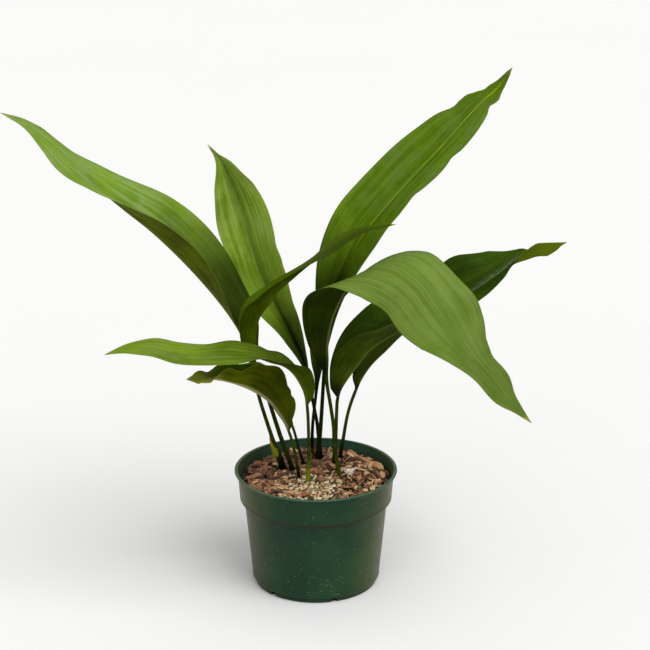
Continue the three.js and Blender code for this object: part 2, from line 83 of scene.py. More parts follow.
# Shading holds a node tree, with short calls for the nodes that the scene needs
class Shading:
    def __init__(self, tree, last):
        self.tree = tree
        self.last = tree.nodes[last]

    def node(self, kind, settings=None, values=None, take=0):
        made = self.tree.nodes.new("ShaderNode" + kind)
        for name, value in (settings or {}).items():
            if name == "stops":
                self.setStops(made.color_ramp, value)
            else:
                setattr(made, name, value)
        for name, value in (values or {}).items():
            self.feed(made.inputs[name], value)
        return Wire(self, made.outputs[take])

    def setStops(self, ramp, stops):
        while len(ramp.elements) < len(stops):
            ramp.elements.new(1.0)
        for element, (position, *color) in zip(ramp.elements, stops):
            element.position = position
            element.color = paint(*color)

    def feed(self, socket, value):
        if isinstance(value, Wire):
            self.tree.links.new(value.socket, socket)
        else:
            socket.default_value = value

    def attribute(self, name, take="Fac"):
        return self.node("Attribute", {"attribute_name": name}, take=take)

    def moved(self, vector, scale=(1, 1, 1), place=(0, 0, 0)):
        return self.node("Mapping", {}, {"Vector": vector, "Scale": scale, "Location": place})

    def joined(self, x, y, z=0.0):
        return self.node("CombineXYZ", {}, {"X": x, "Y": y, "Z": z})

    def part(self, vector, letter):
        return self.node("SeparateXYZ", {}, {"Vector": vector}, take=letter)

    def noise(self, vector, scale, detail=3.0, rough=0.5):
        values = {"Vector": vector, "Scale": scale, "Detail": detail, "Roughness": rough}
        return self.node("TexNoise", {}, values, take="Fac")

    def spots(self, vector, scale):
        return self.node("TexVoronoi", {}, {"Vector": vector, "Scale": scale}, take="Distance")

    def smooth(self, value, low, high, bottom=0.0, top=1.0):
        # from bottom at low to top at high; low may be the larger of the two
        values = {"Value": value, 1: low, 2: high, 3: bottom, 4: top}
        return self.node("MapRange", {"interpolation_type": "SMOOTHSTEP"}, values)

    def band(self, value, rise, fall):
        return self.smooth(value, *rise) * self.smooth(value, *fall)

    def ramp(self, value, *stops):
        # each stop is a position and a colour as it looks lit
        return self.node("ValToRGB", {"stops": stops}, {"Fac": value})

    def blend(self, factor, first, second):
        settings = {"data_type": "RGBA", "blend_type": "MIX"}
        return self.node("Mix", settings, {0: factor, 6: first, 7: second}, take=2)

    def relief(self, height, distance, strength=1.0, over=None):
        values = {"Height": height, "Distance": distance, "Strength": strength}
        if over:
            values["Normal"] = over
        return self.node("Bump", {}, values)

    def give(self, **sockets):
        for socket, value in sockets.items():
            self.feed(self.last.inputs[socket.replace("_", " ")], value)


# A Finish is the shading of one material
class Finish(Shading):
    def __init__(self, name, **constants):
        self.material = bpy.data.materials.new(name)
        self.material.use_nodes = True
        super().__init__(self.material.node_tree, "Principled BSDF")
        self.place = self.node("TexCoord", take="Object")
        self.give(**constants)


lightOnTop = 1.7  # how much light the studio drops on a level face


def paint(red, green, blue):
    # a colour as it looks under the studio's light, 0 to 255, in the linear values that a shader needs
    linear = [value / 255 / 12.92 if value < 11 else ((value / 255 + 0.055) / 1.055) ** 2.4
              for value in (red, green, blue)]
    return (*[value / lightOnTop for value in linear], 1.0)


def smoothStep(value, low, high):
    share = min(1.0, max(0.0, (value - low) / (high - low)))
    return share * share * (3 - 2 * share)


def lerp(first, second, share):
    return first + (second - first) * share


def addObject(name, data):
    # data is a light, a camera or a bmesh, which is used up
    if isinstance(data, bmesh.types.BMesh):
        bm, data = data, bpy.data.meshes.new(name)
        bm.to_mesh(data)
        bm.free()
    made = bpy.data.objects.new(name, data)
    scene.collection.objects.link(made)
    return made


def addPiece(bm, name, material, nodes=(), sharpAngle=None):
    piece = addObject(name, bm)
    mesh = piece.data
    mesh.materials.append(material)
    mesh.shade_smooth()
    if sharpAngle:
        mesh.set_sharp_from_angle(angle=math.radians(sharpAngle))
    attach(piece, "root")
    if nodes:
        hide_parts(*nodes)
    print("made", name, len(mesh.polygons), "faces")
    return piece


# Camera at the photograph's viewing angle
view = dict(lens=114.1, sensor=36, place=(9.3, -1928.5, 942.0), pitch=70.9, farthest=200)


def addCamera():
    lens = bpy.data.cameras.new("photoView")
    lens.lens = view["lens"]
    lens.sensor_width = view["sensor"]
    lens.clip_end = view["farthest"]
    camera = addObject("photoView", lens)
    camera.location = Vector(view["place"]) * mm
    camera.rotation_euler = (math.radians(view["pitch"]), 0, 0)
    scene.camera = camera


# Pale floor and soft light
studio = dict(
    floorSize=120.0, floorColor=paint(249, 249, 248), floorShade=paint(246, 246, 245),
    cloudScale=1.5, overhead=0.95, horizon=0.28,
    suns=[
        dict(name="keyLight", comesFrom=(0.75, -0.65, 1.5), spread=50, power=3.0),
        dict(name="fillLight", comesFrom=(-0.9, -0.9, 0.9), spread=70, power=0.5),
        dict(name="frontLight", comesFrom=(0, -1.5, 0.75), spread=80, power=1.0),
    ],
)


def addFloor():
    bm = bmesh.new()
    bmesh.ops.create_grid(bm, x_segments=1, y_segments=1, size=studio["floorSize"] / 2)
    finish = Finish("palePaint", Roughness=0.8)
    cloudy = finish.noise(finish.place, studio["cloudScale"], 2.0)
    finish.give(Base_Color=finish.blend(cloudy, studio["floorColor"], studio["floorShade"]))
    floor = addObject("paleFloor", bm)
    floor.data.materials.append(finish.material)


def addLight():
    for sun in studio["suns"]:
        light = bpy.data.lights.new(sun["name"], "SUN")
        light.angle = math.radians(sun["spread"])
        light.energy = sun["power"]
        lamp = addObject(sun["name"], light)
        lamp.rotation_euler = Vector(sun["comesFrom"]).to_track_quat("Z", "Y").to_euler()
    world = bpy.data.worlds.new("softRoom")
    world.use_nodes = True
    room = Shading(world.node_tree, "Background")
    height = room.part(room.node("TexCoord", take="Generated"), "Z")
    levels = {"Value": height, "To Min": studio["horizon"], "To Max": studio["overhead"]}
    glow = room.node("MapRange", {}, levels)
    room.give(Color=(1.0, 1.0, 1.0, 1.0), Strength=glow)
    scene.world = world
    scene.view_settings.view_transform = "Standard"


# The pot: one moulding, turned from its profile, with drain notches in its foot
pot = dict(
    height=120.5, lipRadius=82.5, lipThickness=1.7, lipWidth=3.4,
    bandTop=79.3, bandBottom=77.3, bandHeight=90.5, stepDepth=1.6,
    bodyTop=72.8, bodyBottom=65.3, foot=62.6, footHeight=4.0, wall=1.5, floor=3.0,
    softCorner=0.7, smallCorner=0.6, bodyCorner=2.2, steps=160, sharpAngle=40, drains=6,
    drainFirst=-73, drainWidth=6.0, drainHeight=4.2, drainDepth=5.0, drainCorner=1.6,
)


def arc(radius, height, size, start, end, count):
    # points of a rounded corner, by angle in degrees
    turns = [math.radians(lerp(start, end, k / (count - 1))) for k in range(count)]
    return [(radius + size * math.cos(turn), height + size * math.sin(turn)) for turn in turns]


def slope(start, end, count):
    # points at even steps along a straight side
    shares = [k / count for k in range(count + 1)]
    return [(lerp(start[0], end[0], share), lerp(start[1], end[1], share)) for share in shares]


def potProfile():
    top, step, inner = pot["height"], pot["bandHeight"], -pot["wall"]
    under, bead = top - pot["lipThickness"], pot["lipThickness"] / 2
    foot, footHeight, soft, small = pot["foot"], pot["footHeight"], pot["softCorner"], pot["smallCorner"]
    names = ("bodyBottom", "bodyTop", "bandBottom", "bandTop")
    bodyBottom, bodyTop, bandBottom, bandTop = (pot[name] for name in names)
    outside = [(0, 0), (foot - 1.6, 0)]
    outside += arc(foot - soft, soft, soft, -90, 0, 4)
    outside += [(foot, footHeight - 0.4), (foot + 0.25, footHeight + 0.3)]
    outside += arc(bodyBottom - 2.1, footHeight + 3.1, pot["bodyCorner"], -70, -8, 6)
    outside += slope((bodyBottom, 10), (bodyTop, step - 2.4), 10)
    outside += [(bodyTop + 0.25, step - 1.7), (bodyTop + 0.9, step - pot["stepDepth"] + 0.2)]
    outside += [(bandBottom - 1.2, step - 0.5)]
    outside += arc(bandBottom - soft, step + 0.25, soft, -75, 0, 5)
    outside += slope((bandBottom, step + 1.5), (bandTop, under - 1.4), 6)
    outside += [(bandTop + 0.2, under - 0.6), (bandTop + 0.8, under - 0.05)]
    outside += arc(pot["lipRadius"] - bead, top - bead, bead, -88, 88, 9)
    outside += arc(pot["lipRadius"] - pot["lipWidth"] + small, top - small, small, 92, 178, 5)
    inside = [(bandTop + inner, under - 1), (bandBottom + inner, step),
              (bodyTop + inner, step - 2 * pot["stepDepth"]), (bodyBottom + inner, footHeight + 4),
              (foot + inner - 1, pot["floor"]), (0, pot["floor"])]
    return outside + inside


def spinProfile(profile, steps):
    bm = bmesh.new()
    line = [bm.verts.new((radius * mm, 0, height * mm)) for radius, height in profile]
    edges = [bm.edges.new(pair) for pair in zip(line, line[1:])]
    bmesh.ops.spin(bm, geom=line + edges, cent=(0, 0, 0), axis=(0, 0, 1), angle=fullTurn,
                   steps=steps, use_merge=True)
    bmesh.ops.remove_doubles(bm, verts=bm.verts, dist=0.005 * mm)
    bmesh.ops.recalc_face_normals(bm, faces=bm.faces)
    return bm


def cutAway(piece, bm):
    # takes the shape in bm out of the piece for good
    cutter = addObject("cutter", bm)
    modifier = piece.modifiers.new("cut", "BOOLEAN")
    modifier.operation = "DIFFERENCE"
    modifier.solver = "EXACT"
    modifier.object = cutter
    graph = bpy.context.evaluated_depsgraph_get()
    result = bpy.data.meshes.new_from_object(piece.evaluated_get(graph))
    piece.modifiers.clear()
    piece.data = result
    bpy.data.objects.remove(cutter)


# Where the marks on the pot begin and end, in metres of height or of reach from the axis
potMarks = dict(
    taper=0.069, skin=(0.0699, 0.0706), band=(0.0908, 0.0902), mouth=(0.092, 0.1),
    sides=(0.03, 0.08), innerSides=(0.03, 0.07), low=(0.1, 0.015), lipTop=(0.1194, 0.1203),
    bandCornerLine=((0.0899, 0.0903), (0.0922, 0.0913)), shadow=((0.0872, 0.0884), (0.09, 0.0897)),
    footTop=(0.0078, 0.006), footBottom=(0.0034, 0.0044),
    notchDepth=(0.0624, 0.0621), notchTop=(0.0046, 0.0042),
)
# How strongly each mark shows and in which colour, in the order in which they lie on each other
potCoats = dict(
    # the olive of the sides is a painted reflection, and the pale teal of the inner wall is painted light
    faded=(0.72, 80, 86, 20), inside=(0.8, 58, 100, 74), film=(0.5, 52, 42, 16),
    lime=(0.6, 146, 156, 130), scuff=(0.6, 128, 148, 120),
    # a thin dark brown line lies along the band's lower corner
    # the dark at the foot and in the notches is painted shade
    bandCornerLine=(0.9, 46, 34, 6), shadow=(0.7, 18, 30, 12), soil=(0.9, 24, 28, 10),
    # the pale top of the lip is a painted highlight
    worn=(0.55, 84, 122, 94),
)


def potFinish():
    finish = Finish("greenPlastic", IOR=1.46, Specular_IOR_Level=0.22)
    smooth, place, marks = finish.smooth, finish.place, potMarks
    sideways, deepways, height = (finish.part(place, letter) for letter in "XYZ")
    reach = (sideways * sideways + deepways * deepways) ** 0.5
    cloud = finish.noise(place, 13, 3.0, 0.5)
    base = finish.blend(smooth(cloud, 0.35, 0.7), paint(16, 54, 28), paint(26, 68, 36))
    outside = smooth(reach - height * marks["taper"], *marks["skin"])
    # the inner wall below the lip, painted lighter: painted light on a wall that lies in shade
    inside = (1 - outside) * smooth(height, *marks["mouth"])
    outside = outside | smooth(height, *marks["band"])
    # the sides outside are painted olive, a painted reflection of what stands beside the pot; inside the
    # mouth the sides turn browner
    aside = abs(sideways) + (cloud * 0.05 - 0.025)
    faded = smooth(aside, *marks["sides"]) * outside
    film = smooth(aside, *marks["innerSides"]) * inside
    # tiny pale flecks of lime, denser lower down, and a few level scuffs
    chance = finish.noise(place, 150, 3.0, 0.6) + smooth(height, *marks["low"]) * 0.06
    lime = smooth(finish.spots(place, 440), 0.24, 0.12) * smooth(chance, 0.55, 0.64)
    scuffGrain = finish.noise(finish.moved(place, (1, 1, 6)), 120, 4.0, 0.7)
    scuffArea = smooth(finish.noise(place, 42, 2.0, 0.5), 0.58, 0.64)
    scuff = smooth(scuffGrain, 0.6, 0.66) * scuffArea
    # painted shade round the foot, under the curve of the body, and inside the notches
    footTop = smooth(height + cloud * 0.004, *marks["footTop"])
    notched = smooth(reach, *marks["notchDepth"]) * smooth(height, *marks["notchTop"])
    soil = footTop * smooth(height, *marks["footBottom"]) | notched
    shows = {
        "faded": faded, "inside": inside, "film": film, "lime": lime, "scuff": scuff, "soil": soil,
        "bandCornerLine": finish.band(height, *marks["bandCornerLine"]),
        "shadow": finish.band(height, *marks["shadow"]), "worn": smooth(height, *marks["lipTop"]),
    }
    for name, (strength, *color) in potCoats.items():
        base = finish.blend(shows[name] * strength, base, paint(*color))
    smear = finish.noise(finish.moved(place, (1, 1, 2.2)), 75, 5.0, 0.7)
    rough = smooth(smear, 0.3, 0.75, 0.3, 0.44) + lime * 0.25 + soil * 0.2
    wavy = finish.relief(finish.noise(place, 34, 2.0), 0.0004, 0.25)
    grainy = finish.relief(finish.noise(place, 420, 2.0, 0.6), 0.00004, 0.35, wavy)
    finish.give(Base_Color=base, Roughness=rough, Normal=grainy)
    return finish.material


def makePot():
    bm = spinProfile(potProfile(), pot["steps"])
    piece = addPiece(bm, "potShell", potFinish(), ["pot"])
    cutters = bmesh.new()
    for k in range(pot["drains"]):
        turn = Matrix.Rotation(math.radians(pot["drainFirst"] + 360 * k / pot["drains"]), 4, "Z")
        place = turn @ Matrix.Translation((pot["foot"] * mm, 0, 0))
        sides = (pot["drainDepth"] * mm, pot["drainWidth"] * mm, 2 * pot["drainHeight"] * mm, 1)
        made = bmesh.ops.create_cube(cutters, size=1, matrix=place @ Matrix.Diagonal(sides))
        upper = [edge for vert in made["verts"] for edge in vert.link_edges
                 if abs((edge.verts[0].co - edge.verts[1].co).z) < 1e-6 and edge.verts[0].co.z > 0]
        bmesh.ops.bevel(cutters, geom=list(dict.fromkeys(upper)), offset=pot["drainCorner"] * mm,
                        offset_type="OFFSET", segments=4, profile=0.5, affect="EDGES", material=-1)
    cutAway(piece, cutters)
    piece.data.shade_smooth()
    piece.data.set_sharp_from_angle(angle=math.radians(pot["sharpAngle"]))


# The potting mix: a lumpy body, with bark, crumbs and granules lying on it
mix = dict(
    edgeHeight=108.0, mound=4.0, middle=15, reach=80, rings=34, steps=120,
    crowding=1.05, lump=1.3, broadLumps=(0.21, 1.3, 0.24, 0.4), fineLumps=(0.6, 0.47, 0.39),
    gritSizes=(3.1, 1.3), fineGrit=0.6, gritHeight=1.2, gritAtEdge=0.3,
    wall=[(60.0, 3.4), (63.4, 8.0), (70.9, 87.0), (75.4, 90.6), (76.8, 108.0)],
)


def mixHeight(x, y):
    reach = min(1.0, math.hypot(x, y - mix["middle"]) / mix["reach"])
    a, b, c, d = mix["broadLumps"]
    size, e, f = mix["fineLumps"]
    lumps = math.sin(x * a + b) * math.cos(y * c - d) + size * math.sin(x * e - y * f)
    return mix["edgeHeight"] + mix["mound"] * (1 - reach ** 2) + mix["lump"] * lumps * (1 - reach ** 6)


def mixFinish():
    finish = Finish("mixAndGapShade")
    coarse = finish.noise(finish.place, 230, 5.0, 0.65)
    fine = finish.noise(finish.place, 900, 3.0, 0.6)
    # near black to brown: dark soil, painted darker still as shade in the gaps between the bits lying on it
    tone = finish.ramp(
        coarse, (0.25, 20, 12, 6), (0.5, 44, 28, 17), (0.68, 82, 56, 36), (0.85, 124, 90, 60))
    bumpy = finish.relief(coarse * 0.8 + fine * 0.3, 0.0022)
    finish.give(Base_Color=tone, Roughness=finish.smooth(fine, 0.3, 0.7, 0.8, 0.98), Normal=bumpy)
    return finish.material


def makeMixBody():
    edge = mix["wall"][-1][0]
    wall = [(0, mix["wall"][0][1])] + mix["wall"]
    shares = [(k / mix["rings"]) ** mix["crowding"] for k in range(1, mix["rings"])]
    top = [(edge * (1 - share), mix["edgeHeight"]) for share in shares]
    bm = spinProfile(wall + top + [(0, mix["edgeHeight"])], mix["steps"])
    coarse, fine = mix["gritSizes"]
    for vert in bm.verts:
        x, y, z = vert.co / mm
        reach = math.hypot(x, y)
        if z > mix["edgeHeight"] - 0.01 and reach < edge - 0.5:
            grit = noise.noise(Vector((x, y, 0)) / coarse)
            grit = grit + mix["fineGrit"] * noise.noise(Vector((x, y, 9)) / fine)
            rise = grit * min(mix["gritHeight"], (edge - reach) * mix["gritAtEdge"])
            vert.co.z = (mixHeight(x, y) - mix["gritHeight"] + rise) * mm
    addPiece(bm, "mixBody", mixFinish(), ["potting_mix"])


def barkFinish(name, stops, seed):
    # "chip" holds each bit's own place and "tone" its own shade, so that no two bits look alike
    finish = Finish(name)
    own = finish.attribute("chip", "Vector")
    grain = finish.noise(finish.moved(own, (0.16, 1.0, 1.0), (seed, 0, 0)), 620, 4.0, 0.6)
    mottle = finish.noise(own, 210, 3.0, 0.55)
    shade = finish.attribute("tone") * 0.86 + grain * 0.34 + mottle * 0.3 - 0.25
    cracks = finish.relief(grain * 0.7 + mottle * 0.3, 0.0007)
    rough = finish.smooth(mottle, 0.3, 0.7, 0.7, 0.95)
    finish.give(Base_Color=finish.ramp(shade, *stops), Roughness=rough, Normal=cracks)
    return finish.material


barkStops = [(0.0, 34, 17, 7), (0.2, 82, 48, 24), (0.4, 142, 92, 54),
             (0.6, 192, 136, 86), (0.8, 224, 176, 122), (1.0, 246, 214, 166)]
strawStops = [(0.0, 106, 80, 38), (0.3, 182, 148, 92), (0.6, 238, 214, 162), (1.0, 255, 248, 222)]
leafBitStops = [(0.0, 24, 46, 30), (0.5, 56, 96, 62), (1.0, 110, 150, 104)]
rosyStops = [(0.0, 58, 32, 22), (0.4, 128, 84, 64), (0.7, 178, 126, 102), (1.0, 222, 180, 154)]
rustStops = [(0.0, 52, 24, 10), (0.4, 120, 66, 34), (0.7, 182, 108, 66), (1.0, 214, 150, 104)]
whiteStops = [(0.0, 204, 194, 178), (0.5, 246, 240, 226), (1.0, 276, 272, 260)]

# What lies on the mix: sizes in mm, tilt in degrees, and where it lies
litter = [
    dict(name="barkFlakes", count=360, length=(7, 15), width=(3.4, 7), thick=(0.8, 1.8), corners=7, tilt=20,
         lift=(-0.8, 2.2), centre=(0, 0), reach=73, seed=3, tone=(-0.05, 1.0), toRight=0.14),
    dict(name="barkChunks", count=44, length=(9, 17), width=(4.5, 8), thick=(1.2, 2.4), corners=8, tilt=14,
         lift=(-0.2, 2.2), centre=(-34, 0), reach=42, seed=5, tone=(0.05, 0.65), toRight=0.12),
    dict(name="barkShreds", count=330, length=(5, 15), width=(0.8, 1.8), thick=(0.5, 0.9), corners=5,
         tilt=26, lift=(0, 2), centre=(0, 0), reach=74, seed=11, tone=(0.2, 1.1), toRight=0.1),
    dict(name="barkCrumbs", count=1300, length=(2, 5), width=(1.4, 3.2), thick=(0.6, 1.6), corners=5,
         tilt=30, lift=(-0.8, 0.8), centre=(0, 10), reach=66, seed=17, tone=(0.0, 0.8)),
    dict(name="rosyCrumbs", count=700, length=(2, 4.8), width=(1.2, 2.6), thick=(0.6, 1.4), corners=5,
         tilt=32, lift=(0.4, 2.6), centre=(-8, 44), reach=33, seed=19, tone=(0.1, 1.0), stops=rosyStops),
    dict(name="strawGrit", count=520, length=(2, 5.5), width=(1.2, 2.8), thick=(0.5, 1.2), corners=5,
         tilt=36, lift=(0, 2.6), centre=(-6, -34), reach=39, seed=23, tone=(0.0, 0.8), stops=strawStops),
    dict(name="strawCluster", count=230, length=(3, 6.5), width=(2.2, 4), thick=(0.6, 1.3), corners=6,
         tilt=32, lift=(0.8, 3.4), centre=(0, -32), reach=27, seed=29, tone=(0.1, 1.0), stops=strawStops),
    dict(name="leafBits", count=26, length=(2.4, 6), width=(1.4, 3.2), thick=(0.3, 0.6), corners=6, tilt=34,
         lift=(0.6, 2.4), centre=(10, 10), reach=62, seed=31, tone=(0.2, 1.0), stops=leafBitStops),
    dict(name="whiteBits", count=11, length=(4, 8), width=(3, 5), thick=(1.4, 2.6), corners=7, tilt=20,
         lift=(1.6, 3.4), centre=(33, 6), reach=7, seed=37, tone=(0.1, 0.8), stops=whiteStops),
    # the larger bits of the photograph: x, y, length, width, turn and tone of each
    dict(name="bigFlakes", thick=(1.1, 2.0), corners=9, tilt=9, lift=(1.8, 3.4), seed=41,
         places=[(-61, -2, 25, 7, 42, 0.5), (-46, 47, 15, 10, 80, 0.34), (-50, 33, 14, 8, 10, 0.26),
            (-54, 14, 11, 8, 0, 0.42), (-24, -45, 9, 5, 0, 0.72), (30, -33, 12, 9, 20, 0.42),
            (44, -9, 12, 6, 78, 0.66), (40, 53, 24, 6, -58, 0.7), (49, 38, 19, 4, -45, 0.66),
            (46, 24, 13, 9, -20, 0.74), (62, 29, 11, 8, 30, 0.62), (17, 22, 11, 7, 10, 0.7),
            (63, -13, 9, 5, 30, 0.74), (-1, 26, 12, 8, -10, 0.3), (-36, 6, 14, 8, 20, 0.34),
            (-44, -20, 13, 7, -15, 0.4), (40, 4, 12, 6, 15, 0.36), (20, -14, 10, 6, 40, 0.4)]),
    dict(name="rustFlakes", thick=(1.2, 2.2), corners=9, tilt=8, lift=(3.0, 4.2), seed=43, stops=rustStops,
         places=[(-12, -49, 21, 5.5, -6, 0.62), (-38, -41, 15, 6, -24, 0.3), (-60, 28, 14, 8, 30, 0.5),
            (34, 59, 9, 5, 30, 0.8), (54, -27, 8, 4, 50, 0.5), (60, 6, 9, 5, 70, 0.4)]),
    dict(name="mossBits", thick=(0.5, 1.0), corners=5, tilt=26, lift=(2.6, 3.8), seed=47,
         stops=leafBitStops,
         places=[(54, 12, 6, 4, 60, 0.9), (66, 17, 7, 5, 10, 0.5), (-47, -28, 5, 3, 20, 0.7),
            (40, 57, 10, 5, -50, 0.8), (-55, 43, 5, 3, 30, 0.3), (-58, 37, 6, 3, 70, 0.2),
            (-47, 50, 5, 3, 10, 0.3), (44, -32, 5, 3, 40, 0.8)]),
]
litterRoom = dict(insidePot=76.4, byWall=0.45, stalk=2.6, byStalk=0.32, toneReach=75)
# A bit's own form: its ragged outline, and how far its upper face draws in and rises
chip = dict(outline=(0.75, 1.15), topLength=(0.62, 0.95), topWidth=(0.6, 0.95), topRise=(0.7, 1.2),
            grainShift=(-9, 9), sideTilt=0.7, sharpAngle=35)


def scattered(kind, feet, draw):
    # places drawn by chance, inside the pot and clear of the stalks
    spots = []
    room = litterRoom
    while len(spots) < kind["count"]:
        turn, reach = draw.uniform(0, fullTurn), kind["reach"] * math.sqrt(draw.random())
        x = kind["centre"][0] + reach * math.cos(turn)
        y = kind["centre"][1] + reach * math.sin(turn)
        length, width = draw.uniform(*kind["length"]), draw.uniform(*kind["width"])
        gap = room["stalk"] + length * room["byStalk"]
        free = all(math.hypot(x - foot[0], y - foot[1]) > gap for foot in feet)
        if free and math.hypot(x, y) + length * room["byWall"] < room["insidePot"]:
            tone = draw.uniform(*kind["tone"]) + kind.get("toRight", 0) * x / room["toneReach"]
            spots.append((x, y, length, width, draw.uniform(0, 180), tone))
    return spots


def addChip(bm, kind, draw, spot):
    x, y, length, width, turn, tone = spot
    chipLayer, toneLayer = bm.verts.layers.float_vector["chip"], bm.verts.layers.float["tone"]
    thick = draw.uniform(*kind["thick"])
    lower = bmesh.ops.create_circle(bm, cap_ends=True, segments=kind["corners"], radius=0.5)["verts"]
    for vert in lower:
        vert.co *= draw.uniform(*chip["outline"])
    above = bmesh.ops.extrude_face_region(bm, geom=[lower[0].link_faces[0]])["geom"]
    upper = [item for item in above if isinstance(item, bmesh.types.BMVert)]
    for vert in upper:
        vert.co = Vector((vert.co.x * draw.uniform(*chip["topLength"]),
                          vert.co.y * draw.uniform(*chip["topWidth"]), draw.uniform(*chip["topRise"])))
    shift = Vector([draw.uniform(*chip["grainShift"]) for k in range(3)]) * cm
    for vert in lower + upper:
        vert[toneLayer] = tone
        vert[chipLayer] = Vector((vert.co.x * length, vert.co.y * width, vert.co.z * thick)) * mm + shift
    tilt = math.radians(kind["tilt"])
    level = mixHeight(x, y) + draw.uniform(*kind["lift"])
    place = Matrix.Translation(Vector((x, y, level)) * mm)
    spin = Matrix.Rotation(math.radians(turn), 4, "Z")
    lean = Matrix.Rotation(draw.gauss(0, tilt), 4, "X")
    lean = lean @ Matrix.Rotation(draw.gauss(0, tilt * chip["sideTilt"]), 4, "Y")
    size = Matrix.Diagonal((length * mm, width * mm, thick * mm, 1))
    bmesh.ops.transform(bm, matrix=place @ spin @ lean @ size, verts=lower + upper)


def makeLitter(kind, feet):
    draw = random.Random(kind["seed"])
    bm = bmesh.new()
    bm.verts.layers.float_vector.new("chip")
    bm.verts.layers.float.new("tone")
    for spot in kind.get("places") or scattered(kind, feet, draw):
        addChip(bm, kind, draw, spot)
    bmesh.ops.recalc_face_normals(bm, faces=bm.faces)
    finish = barkFinish(kind["name"] + "Finish", kind.get("stops", barkStops), kind["seed"])
    addPiece(bm, kind["name"], finish, sharpAngle=chip["sharpAngle"])


# Leaves: the records of the solids, with a few margins and folds refined. A row of a blade is a point on
# the midrib, the half width, and the lift of the left and the right half in degrees. A margin lists small
# bulges and notches: the share of the blade's length, -1 for left or 1 for right, the size and the spread.
leafShape = dict(
    across=30, crowding=1.22, bladeStep=3.4, stalkStep=6.0, halfThick=0.3, edgeThick=0.13,
    keel=1.0, keelWidth=1.35, groove=0.42, grooveWidth=0.95, ribs=7, ribHeight=0.13,
    opens=(2.2, 9.0), sway=0.7, swaySize=34, leastWidth=0.6, stalkLift=60,
    thins=(0.1, 0.8), fullCurl=4, calmFoot=0.12, calmWidth=12, waveWidth=15, waveLag=1.9,
    flatRib=1.6, channel=0.28, channelWidth=0.22, pointBeyond=0.8, samples=600, nearby=0.01,
)
# A leaf's colours, as they look lit: two shades of its face, its underside, midrib, veins, keel, tip and
# stalk. Widths in its look are in mm, and the rest are shares of the blade or of full strength.
# the underside's colour of each leaf is set darker than its own: painted shade on the face turned from the
# light
usualLook = dict(
    ribWidth=1.2, ribShows=0.8, veins=0.3, underVeins=0.1, keelWide=2.4, keelShows=0.6,
    gutter=0.3, streaks=0.14, slant=0.0, hazeShows=0.45, fade=0.0, rimShows=0.3,
    dimShows=0.8, underLit=0.0, lines=0.0, yellow=0.0, yellowFrom=0.9, gloss=0.46,
    # deep is a near black green: painted shade towards the foot of a blade and in its midrib fold, and the
    # dark of a stalk's mottle and of a darker tip
    shine=0.05, foot=(14, 16, 2), deep=(14, 22, 0), underDark=0.62,
)
